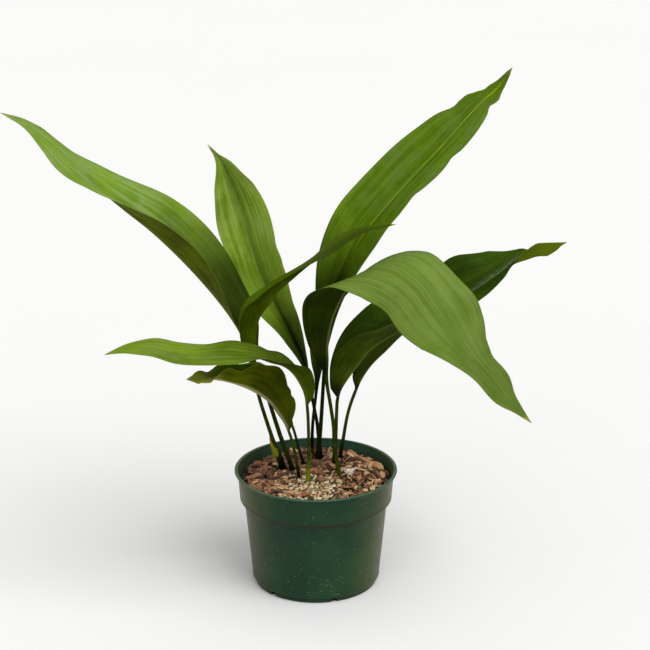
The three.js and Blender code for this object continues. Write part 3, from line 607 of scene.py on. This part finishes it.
# Where the marks on a blade begin and end, as shares of its length or half width, or in mm from the midrib
leafMarks = dict(
    veinsFade=(0.9, 0.35), tan=(18, 2), ribEnd=(1.0, 0.85), keelFull=0.7, gutter=(8, 1.5),
    gutterEnd=(0.46, 0.12), dust=(6, 0.5), dustReach=((0.5, 0.62), (0.84, 0.76)),
    haze=(0.3, 0.55), fade=(0.5, 1.0), twist=(0.8, 0.81), twistSlant=0.035, rim=(0.97, 0.99),
    tip=(0.965, 1.0), yellowSpread=0.16, stem=(0.6, 0.05), stemFoot=(0.15, 0.118),
)
leafLayers = ("across", "reach", "under", "wide", "flat")
leaves = [
    dict(node="leaf_long_left", heading=180, curl=-18, foot=2.7, neck=1.9, wave=(1.2, 3, 0.4),
         stalk=[(-24, 12, 92), (-24, 12, 112), (-36, 16, 149), (-48, 24, 186), (-55, 29, 208)],
         blade=[(-61, 31, 222, 4, 50, 60), (-70, 32, 241, 14, 30, 64), (-78, 31, 259, 25, 19, 62),
            (-91, 26, 282, 33, 13, 54), (-110, 16, 311, 39, 25, 57), (-135, 2, 345, 41, 40, 62),
            (-160, -9, 374, 41, 38, 54), (-185, -17, 398, 38, 25, 36), (-209, -21, 421, 34, 8, 18),
            (-232, -25, 447, 28, -13, 0), (-255, -27, 469, 21, -10, 2), (-275, -29, 485, 11, -2, 10),
            (-296, -30, 496, 1, 0, 10)],
         margin=[(0.85, 1, 4, 0.03), (0.79, -1, 2, 0.03), (0.7, -1, -3, 0.03)],
         colors=[(132, 164, 46), (98, 132, 22), (100, 114, 2), (96, 116, 52), (118, 142, 70),
            (132, 132, 62), (150, 164, 60), (52, 66, 8)],
         look=dict(haze=(140, 164, 96), ribWidth=1.0, ribShows=0.6, veins=0.4, underVeins=0.5,
            hazeShows=0.75, dim=0.56, dimShows=0.86, underLit=1.0, lines=0.3)),
    dict(node="leaf_upright", heading=95, curl=-15, foot=2.2, neck=1.7, wave=(1.2, 4, 1),
         stalk=[(5, 44, 92), (5, 44, 112), (3, 45, 133), (1, 46, 152), (-3, 49, 173)],
         blade=[(-7, 51, 192, 3, 60, 60), (-12, 54, 215, 8, 60, 65), (-23, 58, 240, 17, 56, 54),
            (-37, 64, 267, 25, 45, 50), (-54, 68, 302, 30, 24, 40), (-65, 69, 334, 32, 36, 37),
            (-75, 66, 371, 31, 32, 28), (-85, 61, 404, 23, 40, 24), (-91, 54, 424, 11.5, 38, 24),
            (-98, 49, 435, 3, 30, 16), (-106, 43, 447, 1, 10, 10)],
         margin=[(0.5, 1, -0.9, 0.02), (0.45, 1, 0.9, 0.022), (0.385, 1, 1.5, 0.03), (0.31, 1, -1, 0.022)],
         colors=[(154, 186, 62), (110, 142, 22), (72, 78, 2), (104, 130, 66), (104, 134, 30), (90, 96, 30),
            (176, 200, 100), (32, 42, 3)],
         look=dict(haze=(160, 186, 88), ribWidth=2.4, ribShows=0.5, veins=0.4, slant=0.09, hazeShows=0.8,
            dim=0.38, gutter=0.62)),
    dict(node="leaf_thin_arching", heading=10, curl=-12, foot=2.5, neck=1.9, wave=(0.8, 4, 0),
         stalk=[(-33, 20, 92), (-33, 20, 112), (-44.5, 12, 149), (-59, 1, 206)],
         blade=[(-62, 0, 227, 4, 60, 80), (-60, -3, 251, 12, 78, 88), (-59, -8, 271, 17, 76, 84),
            (-55, -13, 287, 20, 62, 74), (-46, -17, 301, 21, 34, 58), (-36, -20, 316, 22, 8, 46),
            (-23, -23, 329, 22, -4, 35), (-7, -26, 344, 22, -8, 21), (10, -29, 357, 21, 0, 17),
            (29, -32, 371, 18, 2, 9), (50, -35, 383, 11, 0, 8), (65, -37, 387, 5, 4, 4),
            (77, -38, 389, 1, 0, 0)],
         colors=[(76, 98, 8), (54, 74, 0), (96, 118, 2), (56, 76, 10), (54, 74, 4), (84, 100, 6),
            (128, 148, 40), (62, 78, 8)],
         look=dict(ribWidth=1.0, slant=-0.14, dim=0.14, shine=0.02)),
    dict(node="leaf_tall_right", heading=70, curl=-15, foot=2.8, neck=1.9, wave=(1.8, 4, 2.2),
         stalk=[(1, 33, 92), (1, 33, 112), (3, 36, 131), (5, 38, 153), (8, 44, 202)],
         blade=[(10, 46, 231, 4, 60, 60), (14, 50, 257, 14, 62, 60), (19, 54, 284, 25, 58, 56),
            (30, 60, 314, 33, 40, 50), (48, 68, 347, 37, 27, 44), (71, 76, 374, 38, 22, 45),
            (99, 84, 404, 37, 22, 44), (125, 90, 431, 31, 22, 38), (151, 94, 461, 22, 20, 22),
            (168, 94, 480, 12, 20, 10), (183, 92, 495, 6, 20, 10), (195, 88, 514, 1, 10, 10)],
         margin=[(0.818, 1, -2.5, 0.015), (0.868, 1, 2.5, 0.02), (0.64, 1, -3.5, 0.018), (0.58, 1, 2, 0.03),
            (0.512, 1, -4, 0.018), (0.45, 1, 1.5, 0.03), (0.727, -1, -4, 0.025), (0.79, -1, 1.5, 0.015),
            (0.85, -1, -2, 0.02)],
         colors=[(110, 142, 22), (74, 106, 0), (76, 82, 2), (156, 176, 24), (64, 90, 6), (96, 100, 30),
            (108, 134, 36), (34, 46, 3)],
         look=dict(haze=(102, 128, 52), ribWidth=1.1, veins=0.5, streaks=0.08, hazeShows=0.85, dim=0.42,
            dimShows=0.85, gutter=0.75, lines=0.25)),
    dict(node="leaf_level_left", heading=184, curl=-15, foot=2.4, neck=1.7, wave=(1, 4, 0.5),
         stalk=[(-8, -16, 92), (-8, -16, 112), (-7, -15, 136), (-7, -16, 161)],
         blade=[(-8, -18, 191, 2.5, 60, 40), (-10, -21, 207, 9, 76, 30), (-15, -26, 222, 16, 62, 16),
            (-23, -31, 236, 21, 54, 8), (-32, -37, 245, 24, 34, 5), (-43, -42, 250, 26, 26, 8),
            (-54, -45, 255, 27, 20, 10), (-69, -48, 259, 28, 10, 8), (-85, -51, 262, 28, 0, 8),
            (-109, -54, 262, 26, -4, 5), (-133, -57, 264, 21, -8, 12), (-157, -59, 270, 16, -5, 22),
            (-179, -60, 271, 9, -16, 20), (-203, -61, 265, 1, 0, 10)],
         colors=[(124, 152, 32), (82, 110, 10), (88, 112, 2), (84, 110, 26), (80, 108, 18), (120, 140, 40),
            (132, 154, 44), (62, 76, 8)],
         look=dict(foot=(128, 148, 26), haze=(124, 148, 70), ribWidth=0.9, ribShows=0.5, veins=0.25,
            dim=0.8, dimShows=0.54, underLit=0.3, gloss=0.44)),
    dict(node="leaf_drooping_front", heading=-38, curl=-18, foot=2.3, neck=1.8, wave=(1.2, 4, 0.8),
         pleats=(0.4, 0.1, 0.3),
         stalk=[(24, -9, 92), (24, -9, 112), (19, -8, 146), (18, -7, 168), (15, -6, 190)],
         blade=[(11, -6, 218, 3, 40, 50), (12, -7, 237, 10, 40, 50), (12, -10, 257, 20, 35, 45),
            (15, -14, 278, 29, 28, 38), (21, -20, 299, 36, 18, 32), (31, -29, 321, 41, 8, 15),
            (45, -42, 341, 42, 4, -3), (62, -58, 356, 43, 0, -36), (80, -72, 357, 44, 4, -52),
            (100, -83, 344, 44, 12, -52), (116, -92, 323, 43, 26, -42), (129, -100, 303, 38, 20, -22),
            (142, -108, 284, 31, 12, 2), (160, -115, 266, 23, 14, 6), (178, -121, 245, 14, 9, -6),
            (192, -126, 232, 6, 5, 0), (203, -130, 222, 1, 0, 0)],
         margin=[(0.6, -1, -6, 0.05), (0.8, -1, -3.5, 0.02), (0.855, -1, 4, 0.025)],
         colors=[(108, 134, 50), (92, 118, 36), (52, 72, 0), (84, 106, 34), (140, 164, 84), (112, 116, 60),
            (170, 158, 60), (52, 70, 6)],
         look=dict(foot=(66, 84, 10), haze=(118, 142, 66), ribWidth=0.6, ribShows=0.5, veins=0.6,
            keelShows=0.8, streaks=0.06, hazeShows=0.6, dim=0.12, fade=0.2, gloss=0.52)),
    dict(node="leaf_dusty_right", heading=8, curl=-18, foot=2.8, neck=1.8, wave=(1, 4, 2),
         stalk=[(19, 33, 92), (19, 33, 112), (20, 33, 138), (21, 31, 166)],
         blade=[(22, 30, 184, 3, 60, 60), (25, 30, 194, 12, 72, 90), (32, 30, 206, 21, 72, 82),
            (42, 30, 220, 29, 70, 76), (55, 30, 237, 35, 68, 58), (71, 30, 249, 38, 66, 44),
            (93, 30, 263, 38, 60, 34), (119, 30, 279, 38, 60, 18), (143, 30, 291, 38, 60, 3),
            (165, 30, 305, 33, 62, 2), (186, 30, 321, 22, 48, 2), (200, 28, 334, 12, 34, 0),
            (214, 26, 342, 8, 28, -25), (229, 24, 346, 7, 36, -30), (248, 22, 353, 1, 10, 0)],
         margin=[(0.62, -1, 4.5, 0.06), (0.72, -1, 3, 0.04), (0.76, 1, -5, 0.025), (0.6, 1, -5, 0.05),
            (0.845, -1, -4, 0.016), (0.89, -1, 1, 0.015), (0.93, 1, 2.5, 0.02), (0.962, 1, 2.5, 0.014)],
         colors=[(62, 88, 6), (34, 56, 0), (76, 96, 4), (84, 102, 44), (78, 102, 34), (124, 126, 50),
            (90, 108, 0), (62, 80, 8)],
         look=dict(turned=(50, 62, 0), underVeins=0.36, dim=0.14, yellow=0.6, yellowFrom=0.93, dust=0.38,
            gloss=0.42)),
    dict(node="leaf_low_left", heading=190, curl=-10, foot=2, neck=1.6, wave=(2.2, 5, 0.5),
         stalk=[(-17, -9, 92), (-17, -9, 112), (-20, -10, 136)],
         blade=[(-26, -12, 163, 2.5, 60, 60), (-31, -15, 176, 11, 66, 60), (-38, -18, 188, 20, 86, 55),
            (-45, -22, 200, 27, 96, 50), (-56, -27, 211, 32, 98, 42), (-68, -33, 220, 31, 83, 34),
            (-83, -39, 228, 28, 52, 19), (-96, -45, 233, 22, 54, 4), (-108, -50, 236, 13, 0, 14),
            (-117, -54, 236, 8, 0, 24), (-125, -57, 238, 1, 0, 10)],
         margin=[(0.7, -1, 2, 0.03), (0.6, -1, -6, 0.04), (0.51, -1, 1, 0.03), (0.8, -1, 3, 0.016),
            (0.85, -1, -4.5, 0.016), (0.9, -1, 1.8, 0.02), (0.31, -1, -2.2, 0.012), (0.25, -1, -1.5, 0.012),
            (0.11, -1, -2, 0.02)],
         colors=[(112, 150, 6), (62, 98, 0), (92, 104, 2), (92, 104, 30), (60, 80, 6), (186, 176, 122),
            (188, 196, 72), (66, 82, 8)],
         look=dict(rim=(168, 168, 70), underVeins=0.06, keelWide=3.4, keelShows=0.95, rimShows=0.8, dim=0.6,
            dimShows=0.4, yellow=0.9, yellowFrom=0.78, gloss=0.48, shine=0.02)),
    dict(node="leaf_short_right", heading=14, curl=-15, foot=2.2, neck=1.7, wave=(1, 3, 0),
         stalk=[(25, 46, 92), (25, 46, 112), (28, 48, 132), (33, 50, 161)],
         blade=[(40, 51, 183, 3, 60, 60), (47, 53, 198, 11, 66, 70), (57, 56, 212, 18, 62, 62),
            (72, 60, 226, 23, 50, 50), (89, 64, 242, 26, 40, 35), (108, 68, 253, 25, 30, 20),
            (130, 71, 257, 21, 20, 10), (150, 74, 247, 14, 10, 0), (169, 75, 225, 1, 0, 0)],
         colors=[(68, 96, 8), (38, 62, 0), (60, 80, 2), (100, 110, 40), (60, 80, 10), (104, 108, 34),
            (104, 124, 36), (66, 86, 10)],
         look=dict(underVeins=0.3, dim=0.12)),
    dict(node="leaf_back", heading=72, curl=-15, foot=2.1, neck=1.6, wave=(1, 3, 1),
         stalk=[(-3, 54, 92), (-3, 54, 112), (-4, 57, 131), (-3, 60, 151)],
         blade=[(-1, 62, 168, 2.5, 60, 60), (2, 66, 193, 6, 50, 50), (5, 72, 227, 12, 35, 35),
            (13, 80, 265, 15, 25, 25), (27, 90, 303, 18, 20, 20), (45, 101, 337, 20, 15, 15),
            (65, 112, 366, 17, 15, 15), (84, 121, 390, 9, 10, 10), (99, 127, 406, 1, 0, 0)],
         colors=[(98, 126, 26), (68, 94, 8), (76, 84, 2), (124, 144, 44), (64, 88, 10), (96, 100, 30),
            (110, 134, 44), (24, 32, 2)],
         look=dict(ribWidth=1.0, veins=0.25, dim=0.3)),
    dict(node="leaf_young", heading=150, curl=-15, foot=1.7, neck=1.4, wave=(0.4, 3, 0),
         stalk=[(-13, 30, 92), (-13, 30, 112), (-17, 29, 128)],
         blade=[(-23, 28, 152, 2, 60, 60), (-29, 31, 167, 5, 50, 50), (-37, 36, 181, 9, 40, 40),
            (-48, 43, 191, 12, 30, 30), (-61, 51, 197, 12, 25, 25), (-74, 58, 198, 9, 20, 20),
            (-87, 64, 196, 4, 10, 10), (-95, 67, 193, 1, 0, 0)],
         colors=[(112, 138, 32), (78, 106, 14), (82, 96, 4), (128, 150, 56), (72, 98, 16), (110, 120, 40),
            (124, 150, 50), (54, 70, 8)],
         look=dict(ribWidth=0.8, veins=0.25, dim=0.12)),
]
sheaths = [
    dict(node="sheath_green", slot="sheath_green", heading=110, curl=40, foot=1.4, neck=1.4, wave=(0, 1, 0),
         stalk=[(-36.2, 18.5, 98), (-36.2, 18.5, 108)],
         blade=[(-37, 14, 118, 2.4, 20, 20), (-39.5, 12.4, 127, 3.3, 10, 6), (-43, 11.8, 138, 2.9, 6, 4),
            (-47, 12, 151, 0.7, 0, 0)],
         colors=[(138, 148, 24), (104, 122, 14), (104, 122, 14), (160, 166, 40), (110, 124, 16),
            (150, 150, 40), (204, 140, 50), (70, 84, 14)],
         look=dict(ribWidth=0.5, veins=0.4, dim=0.5, yellow=0.9, yellowFrom=0.8, gloss=0.55)),
    dict(node="sheath_brown", slot="sheath_brown", heading=180, curl=40, foot=1.2, neck=1.2, wave=(0, 1, 0),
         stalk=[(-4.2, 33, 98), (-4.2, 33, 108)],
         blade=[(-3.8, 33.5, 114, 2.3, 50, 50), (-3, 34.5, 124, 2.2, 45, 45), (-1.6, 35.5, 136, 0.7, 0, 0)],
         colors=[(120, 84, 44), (64, 42, 20), (70, 46, 22), (120, 90, 52), (50, 32, 14), (100, 70, 40),
            (140, 108, 70), (60, 40, 20)],
         look=dict(ribWidth=0.5, veins=0.5, dim=0.02, gloss=0.7)),
]


def around(items, at):
    # the two items on each side of a place counted along a list, and how far it is from the second
    first = min(int(at), len(items) - 2)
    b, c = items[first], items[first + 1]
    a = items[first - 1] if first else 2 * b - c
    d = items[first + 2] if first + 2 < len(items) else 2 * c - b
    return a, b, c, d, at - first


def curveAt(points, at):
    # a smooth curve through the points, with even speed between close and distant ones
    a, b, c, d, share = around(points, at)
    before, here, after = ((q - p).length ** 0.5 for p, q in ((a, b), (b, c), (c, d)))
    leave = ((b - a) / before - (c - a) / (before + here) + (c - b) / here) * here
    arrive = ((c - b) / here - (d - b) / (here + after) + (d - c) / after) * here
    return (b + leave * share + (3 * (c - b) - 2 * leave - arrive) * share ** 2
            + (2 * (b - c) + leave + arrive) * share ** 3)


def smoothAlong(values, at):
    a, b, c, d, share = around(values, at)
    bend = (3 * (b - c) + d - a) * share ** 3 + (2 * a - 5 * b + 4 * c - d) * share ** 2 + (c - a) * share
    return b + bend / 2


def ringPlaces(points, bladeFrom):
    # rings at even steps, wider apart on the stalk
    last = len(points) - 1
    samples = leafShape["samples"]
    places, walked, before = [0.0], 0.0, points[0]
    for k in range(1, samples + 1):
        mark = last * k / samples
        spot = curveAt(points, mark)
        walked += (spot - before).length
        before = spot
        if walked >= leafShape["bladeStep" if mark > bladeFrom - 0.4 else "stalkStep"]:
            places.append(mark)
            walked = 0.0
    places[-1] = last
    return places


def crossSection(leaf, rows, mark):
    # what all the points of the ring at a mark share; width, thickness and the like in mm
    shape = leafShape
    points = [Vector(row[:3]) for row in rows]
    widths, lefts, rights = ([row[k] for row in rows] for k in (3, 4, 5))
    last, bladeFrom, widest = len(rows) - 1, len(leaf["stalk"]), widths.index(max(widths))
    heading = math.radians(leaf["heading"])
    rightHand = Vector((math.sin(heading), -math.cos(heading), 0))
    ahead = curveAt(points, min(mark + shape["nearby"], last))
    forward = (ahead - curveAt(points, max(mark - shape["nearby"], 0))).normalized()
    right = (rightHand - forward * rightHand.dot(forward)).normalized()
    width, left, rightLift = (smoothAlong(values, mark) for values in (widths, lefts, rights))
    width = max(width, shape["leastWidth"])
    onBlade = max(0.0, (mark - bladeFrom) / (last - bladeFrom))
    height, count, phase = leaf["wave"]
    calm = smoothStep(onBlade, 0, shape["calmFoot"]) * min(1, width / shape["calmWidth"])
    half = {-1: 0.0, 1: 0.0}
    for where, side, size, spread in leaf.get("margin", ()):
        half[side] += size * math.exp(-((onBlade - where) / spread) ** 2)
    at, spread, extra = leaf.get("pleats", (0, 1, 0))
    pleat = extra * math.exp(-((onBlade - at) / spread) ** 2)
    return SimpleNamespace(
        middle=curveAt(points, mark), forward=forward, right=right, up=right.cross(forward), width=width,
        half={side: width + bulge for side, bulge in half.items()}, lift={-1: left, 1: rightLift},
        flat=1.0 if mark > widest else smoothStep(width, *shape["opens"]) * (mark > bladeFrom),
        radius=lerp(leaf["foot"], leaf["neck"], smoothStep(min(1, mark / bladeFrom), *shape["thins"])),
        curl=math.radians(leaf["curl"] * min(1, onBlade * shape["fullCurl"]) - 0.01),
        waveHeight=height * math.sqrt(math.sin(math.pi * onBlade)) * min(1, width / shape["waveWidth"]),
        wave=fullTurn * count * onBlade + phase, ribHeight=shape["ribHeight"] * calm + pleat,
        calm=calm, onBlade=onBlade, seed=Vector((leaf["heading"], widest * 7.0, last * 3.0)))


def skinSpot(ring, j, under):
    # the place of point j of a ring, counted from the midrib, between a stalk's outline and a blade's
    shape = leafShape
    side = -1 if j < 0 else 1
    share = (abs(j) / shape["across"]) ** shape["crowding"]
    start = math.radians(ring.lift[side]) - ring.curl / 2
    angle = start + ring.curl * share
    half = ring.half[side]
    out = half * (math.sin(angle) - math.sin(start)) / ring.curl
    rise = -half * (math.cos(angle) - math.cos(start)) / ring.curl
    rise += ring.waveHeight * share ** 2 * math.sin(ring.wave + (shape["waveLag"] if j < 0 else 0))
    distance = share * half
    tilt = smoothStep(distance, 0, shape["flatRib"])
    faceOut, faceUp = -side * math.sin(angle) * tilt, lerp(1, math.cos(angle), tilt)
    size = math.hypot(faceOut, faceUp)
    thick = lerp(shape["halfThick"], shape["edgeThick"], share ** 8)
    keel = shape["keel"] * (1 - ring.onBlade) * math.exp(-(distance / shape["keelWidth"]) ** 2)
    groove = shape["groove"] * (1 - ring.onBlade) * math.exp(-(distance / shape["grooveWidth"]) ** 2)
    ribs = ring.ribHeight * math.cos(fullTurn * shape["ribs"] * share)
    where = (ring.middle + ring.right * (side * out) + ring.up * rise) / shape["swaySize"] + ring.seed
    sway = shape["sway"] * ring.calm * noise.noise(where) * share
    depth = ribs + sway + (-(thick + keel) if under else thick - groove)
    bladeOut = side * out + depth * faceOut / size
    bladeUp = rise + depth * faceUp / size
    turn = math.pi / 2 - j * math.pi / (2 * shape["across"] + 1)
    dip = shape["channel"] * math.exp(-(j / shape["across"] / shape["channelWidth"]) ** 2)
    stalkOut = ring.radius * math.cos(turn)
    stalkUp = ring.radius * math.sin(turn) * (-1 if under else 1 - dip)
    sideways = ring.right * lerp(stalkOut, bladeOut, ring.flat)
    return (ring.middle + sideways + ring.up * lerp(stalkUp, bladeUp, ring.flat)) * mm


def growLeaf(leaf):
    lift = leafShape["stalkLift"]
    rows = [(*point, leaf["neck"], lift, lift) for point in leaf["stalk"]] + leaf["blade"]
    across = leafShape["across"]
    perSkin = 2 * across + 1
    bm = bmesh.new()
    slotLayer = bm.verts.layers.int.new("slot")
    layers = [bm.verts.layers.float.new(name) for name in leafLayers]
    points = bmesh.ops.create_circle(bm, cap_ends=True, segments=2 * perSkin, radius=mm)["verts"]
    for slot, vert in enumerate(points):
        vert[slotLayer] = slot
    rim = list(bm.edges)
    for number, mark in enumerate(ringPlaces([Vector(row[:3]) for row in rows], len(leaf["stalk"]))):
        if number:
            grown = bmesh.ops.extrude_edge_only(bm, edges=rim)["geom"]
            points = [item for item in grown if isinstance(item, bmesh.types.BMVert)]
            fresh = set(points)
            edges = (item for item in grown if isinstance(item, bmesh.types.BMEdge))
            rim = [edge for edge in edges if fresh.issuperset(edge.verts)]
        ring = crossSection(leaf, rows, mark)
        for vert in points:
            slot = vert[slotLayer]
            under = slot >= perSkin
            j = across - (slot - perSkin) if under else slot - across
            vert.co = skinSpot(ring, j, under)
            share = (abs(j) / across) ** leafShape["crowding"]
            values = (-share if j < 0 else share, ring.onBlade, float(under), ring.width, ring.flat)
            for layer, value in zip(layers, values):
                vert[layer] = value
    point = (ring.middle + ring.forward * leafShape["pointBeyond"]) * mm
    bmesh.ops.pointmerge(bm, verts=points, merge_co=point)
    bmesh.ops.recalc_face_normals(bm, faces=bm.faces)
    return bm


def leafFinish(leaf, name):
    look = {**usualLook, **leaf["look"]}
    light, dark, under, rib, vein, keel, tip, stalk = (paint(*color) for color in leaf["colors"])
    foot, deep = paint(*look["foot"]), paint(*look["deep"])
    rim = paint(*look["rim"]) if "rim" in look else light
    underDark = paint(*[value * look["underDark"] for value in leaf["colors"][2]])
    finish = Finish(name + "Green", IOR=1.4, Specular_IOR_Level=look["shine"])
    smooth, blend, place, marks = finish.smooth, finish.blend, finish.place, leafMarks
    height = finish.part(place, "Z")
    across, reach, below, wide, flat = (finish.attribute(each) for each in leafLayers)
    side = abs(across)
    fromRib = side * wide
    # broad stripes, fine streaks and soft patches, all drawn out along the blade
    stripes = finish.noise(finish.joined(across * 4, reach * 1.6), 1.7, 3.0, 0.55)
    streaks = finish.noise(finish.joined(across * 24, reach * 3.2), 1.5, 4.0, 0.6)
    patches = finish.noise(place, 24, 3.0, 0.55)
    mottle = finish.noise(place, 160, 3.0, 0.6)
    tone = stripes * 0.38 + streaks * look["streaks"] + patches * 0.5 + mottle * 0.12
    # slant paints one half of the blade lighter than the other: painted light falling from one side
    tone = tone + across * look["slant"]
    upper = blend(smooth(tone, 0.4, 0.74), dark, light)
    # the underside's colour, darkened as painted shade, mixed in patches with a still darker copy of it
    lower = blend(smooth(tone, 0.42, 0.7), underDark, under)
    # veins: thin lines side by side, each of its own strength
    lanes = across * 13 + mottle * 0.12
    lane = lanes.maths("FLOOR", lanes)
    offLine = abs(lanes - lane - 0.5)
    strength = finish.noise(finish.joined(lane * 3.7, reach * 2.4), 1.0, 2.0, 0.5)
    line = smooth(offLine, 0.2, 0.04) * smooth(strength, 0.4, 0.6)
    upper = blend(line * smooth(reach, *marks["veinsFade"]) * look["veins"], upper, vein)
    tan = smooth(streaks, 0.48, 0.62) * smooth(fromRib, *marks["tan"])
    lower = blend(tan * look["underVeins"], lower, keel)
    # the midrib lies in a groove above and is a keel below
    ribLine = smooth(fromRib, look["ribWidth"] + 0.5, look["ribWidth"] * 0.35)
    ribLine = ribLine * smooth(reach, *marks["ribEnd"])
    upper = blend(ribLine * look["ribShows"], upper, rib)
    keelLine = smooth(fromRib, look["keelWide"], marks["keelFull"])
    lower = blend(keelLine * look["keelShows"], lower, keel)
    # painted shade in the fold along the midrib near the foot of the blade
    gutter = smooth(fromRib, *marks["gutter"]) * smooth(reach, *marks["gutterEnd"])
    upper = blend(gutter * look["gutter"], upper, deep)
    # pale grey-green along the midrib, partly dust and partly a painted sheen off the midrib's crease, with
    # pale specks
    if "dust" in look:
        grit = smooth(finish.noise(place, 300, 3.0, 0.6) * 0.4 + streaks * 0.7, 0.45, 0.72)
        dusty = smooth(fromRib, *marks["dust"]) * finish.band(reach, *marks["dustReach"])
        upper = blend(grit * dusty * look["dust"], upper, paint(168, 178, 150))
        specks = smooth(finish.spots(place, 230), 0.16, 0.07) * smooth(patches, 0.46, 0.56)
        upper = blend(specks * look["dust"], upper, paint(140, 158, 112))
    # a painted sheen: paler, greyer streaks where the face would catch soft reflected light
    if "haze" in look:
        cloud = smooth(finish.noise(place, 38, 4.0, 0.6) * 0.5 + stripes * 0.5, 0.42, 0.62)
        cloud = cloud * smooth(reach, *marks["haze"]) * look["hazeShows"]
        upper = blend(cloud, upper, paint(*look["haze"]))
    color = blend(smooth(below, 0.4, 0.6), upper, lower)
    color = blend(smooth(reach, *marks["fade"]) * look["fade"], color, deep)
    if "turned" in look:
        # past its twist the blade shows its other face
        pastTwist = smooth(reach + across * marks["twistSlant"], *marks["twist"])
        color = blend(pastTwist, color, blend(stripes, tip, paint(*look["turned"])))
    # a thin margin of another shade, darkness towards the foot of the blade, partly its own colour and
    # partly painted shade, the tip, then the stalk
    color = blend(smooth(side, *marks["rim"]) * look["rimShows"], color, rim)
    dim = smooth(reach + patches * 0.08 - 0.04, look["dim"], look["dim"] * 0.4)
    dim = dim * (1 - below * look["underLit"])
    color = blend(dim * look["dimShows"], color, deep)
    color = blend(line * dim * look["lines"], color, vein)
    color = blend(smooth(reach + mottle * 0.02, *marks["tip"]), color, tip)
    aged = reach + patches * 0.16 + streaks * 0.08
    yellow = smooth(aged, look["yellowFrom"], look["yellowFrom"] + marks["yellowSpread"])
    color = blend(yellow * look["yellow"], color, tip)
    stem = blend(smooth(mottle, 0.35, 0.65) * 0.5, stalk, deep)
    stem = blend(smooth(height + mottle * 0.01, *marks["stemFoot"]), stem, foot)
    color = blend(smooth(flat, *marks["stem"]), color, stem)
    fleck = smooth(finish.spots(place, 60), 0.07, 0.03) * smooth(patches, 0.58, 0.66)
    color = blend(fleck * 0.5, color, paint(160, 172, 60))
    rough = smooth(mottle, 0.3, 0.7, look["gloss"] - 0.05, look["gloss"] + 0.1) + below * 0.4
    veined = finish.relief(line * 0.7 + streaks * 0.6, 0.00035, 0.5)
    skin = finish.relief(finish.noise(place, 900, 2.0), 0.00005, 0.4, veined)
    finish.give(Base_Color=color, Roughness=rough, Normal=skin)
    return finish.material


def makeLeaves():
    for leaf in leaves + sheaths:
        first, *others = leaf["node"].split("_")
        name = first + "".join(word.capitalize() for word in others)
        addPiece(growLeaf(leaf), name, leafFinish(leaf, name), [leaf["node"]])


# The rootstock is hidden in the mix; its solid keeps its shape and gets a skin of its own
def dressRootstock():
    finish = Finish("rootSkin")
    rings = finish.noise(finish.place, 130, 4.0, 0.6)
    color = finish.ramp(rings, (0.3, 88, 66, 38), (0.5, 150, 124, 82), (0.7, 188, 166, 120))
    rough = finish.smooth(rings, 0.3, 0.7, 0.7, 0.9)
    finish.give(Base_Color=color, Roughness=rough, Normal=finish.relief(rings, 0.0015))
    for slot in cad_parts["rootstock"].material_slots:
        slot.material = finish.material


addCamera()
addFloor()
addLight()
print("camera and studio are ready")
makePot()
makeMixBody()
feet = [leaf["stalk"][0] for leaf in leaves + sheaths]
for kind in litter:
    makeLitter(kind, feet)
print("the pot is filled")
makeLeaves()
dressRootstock()
print("the leaves are dressed")
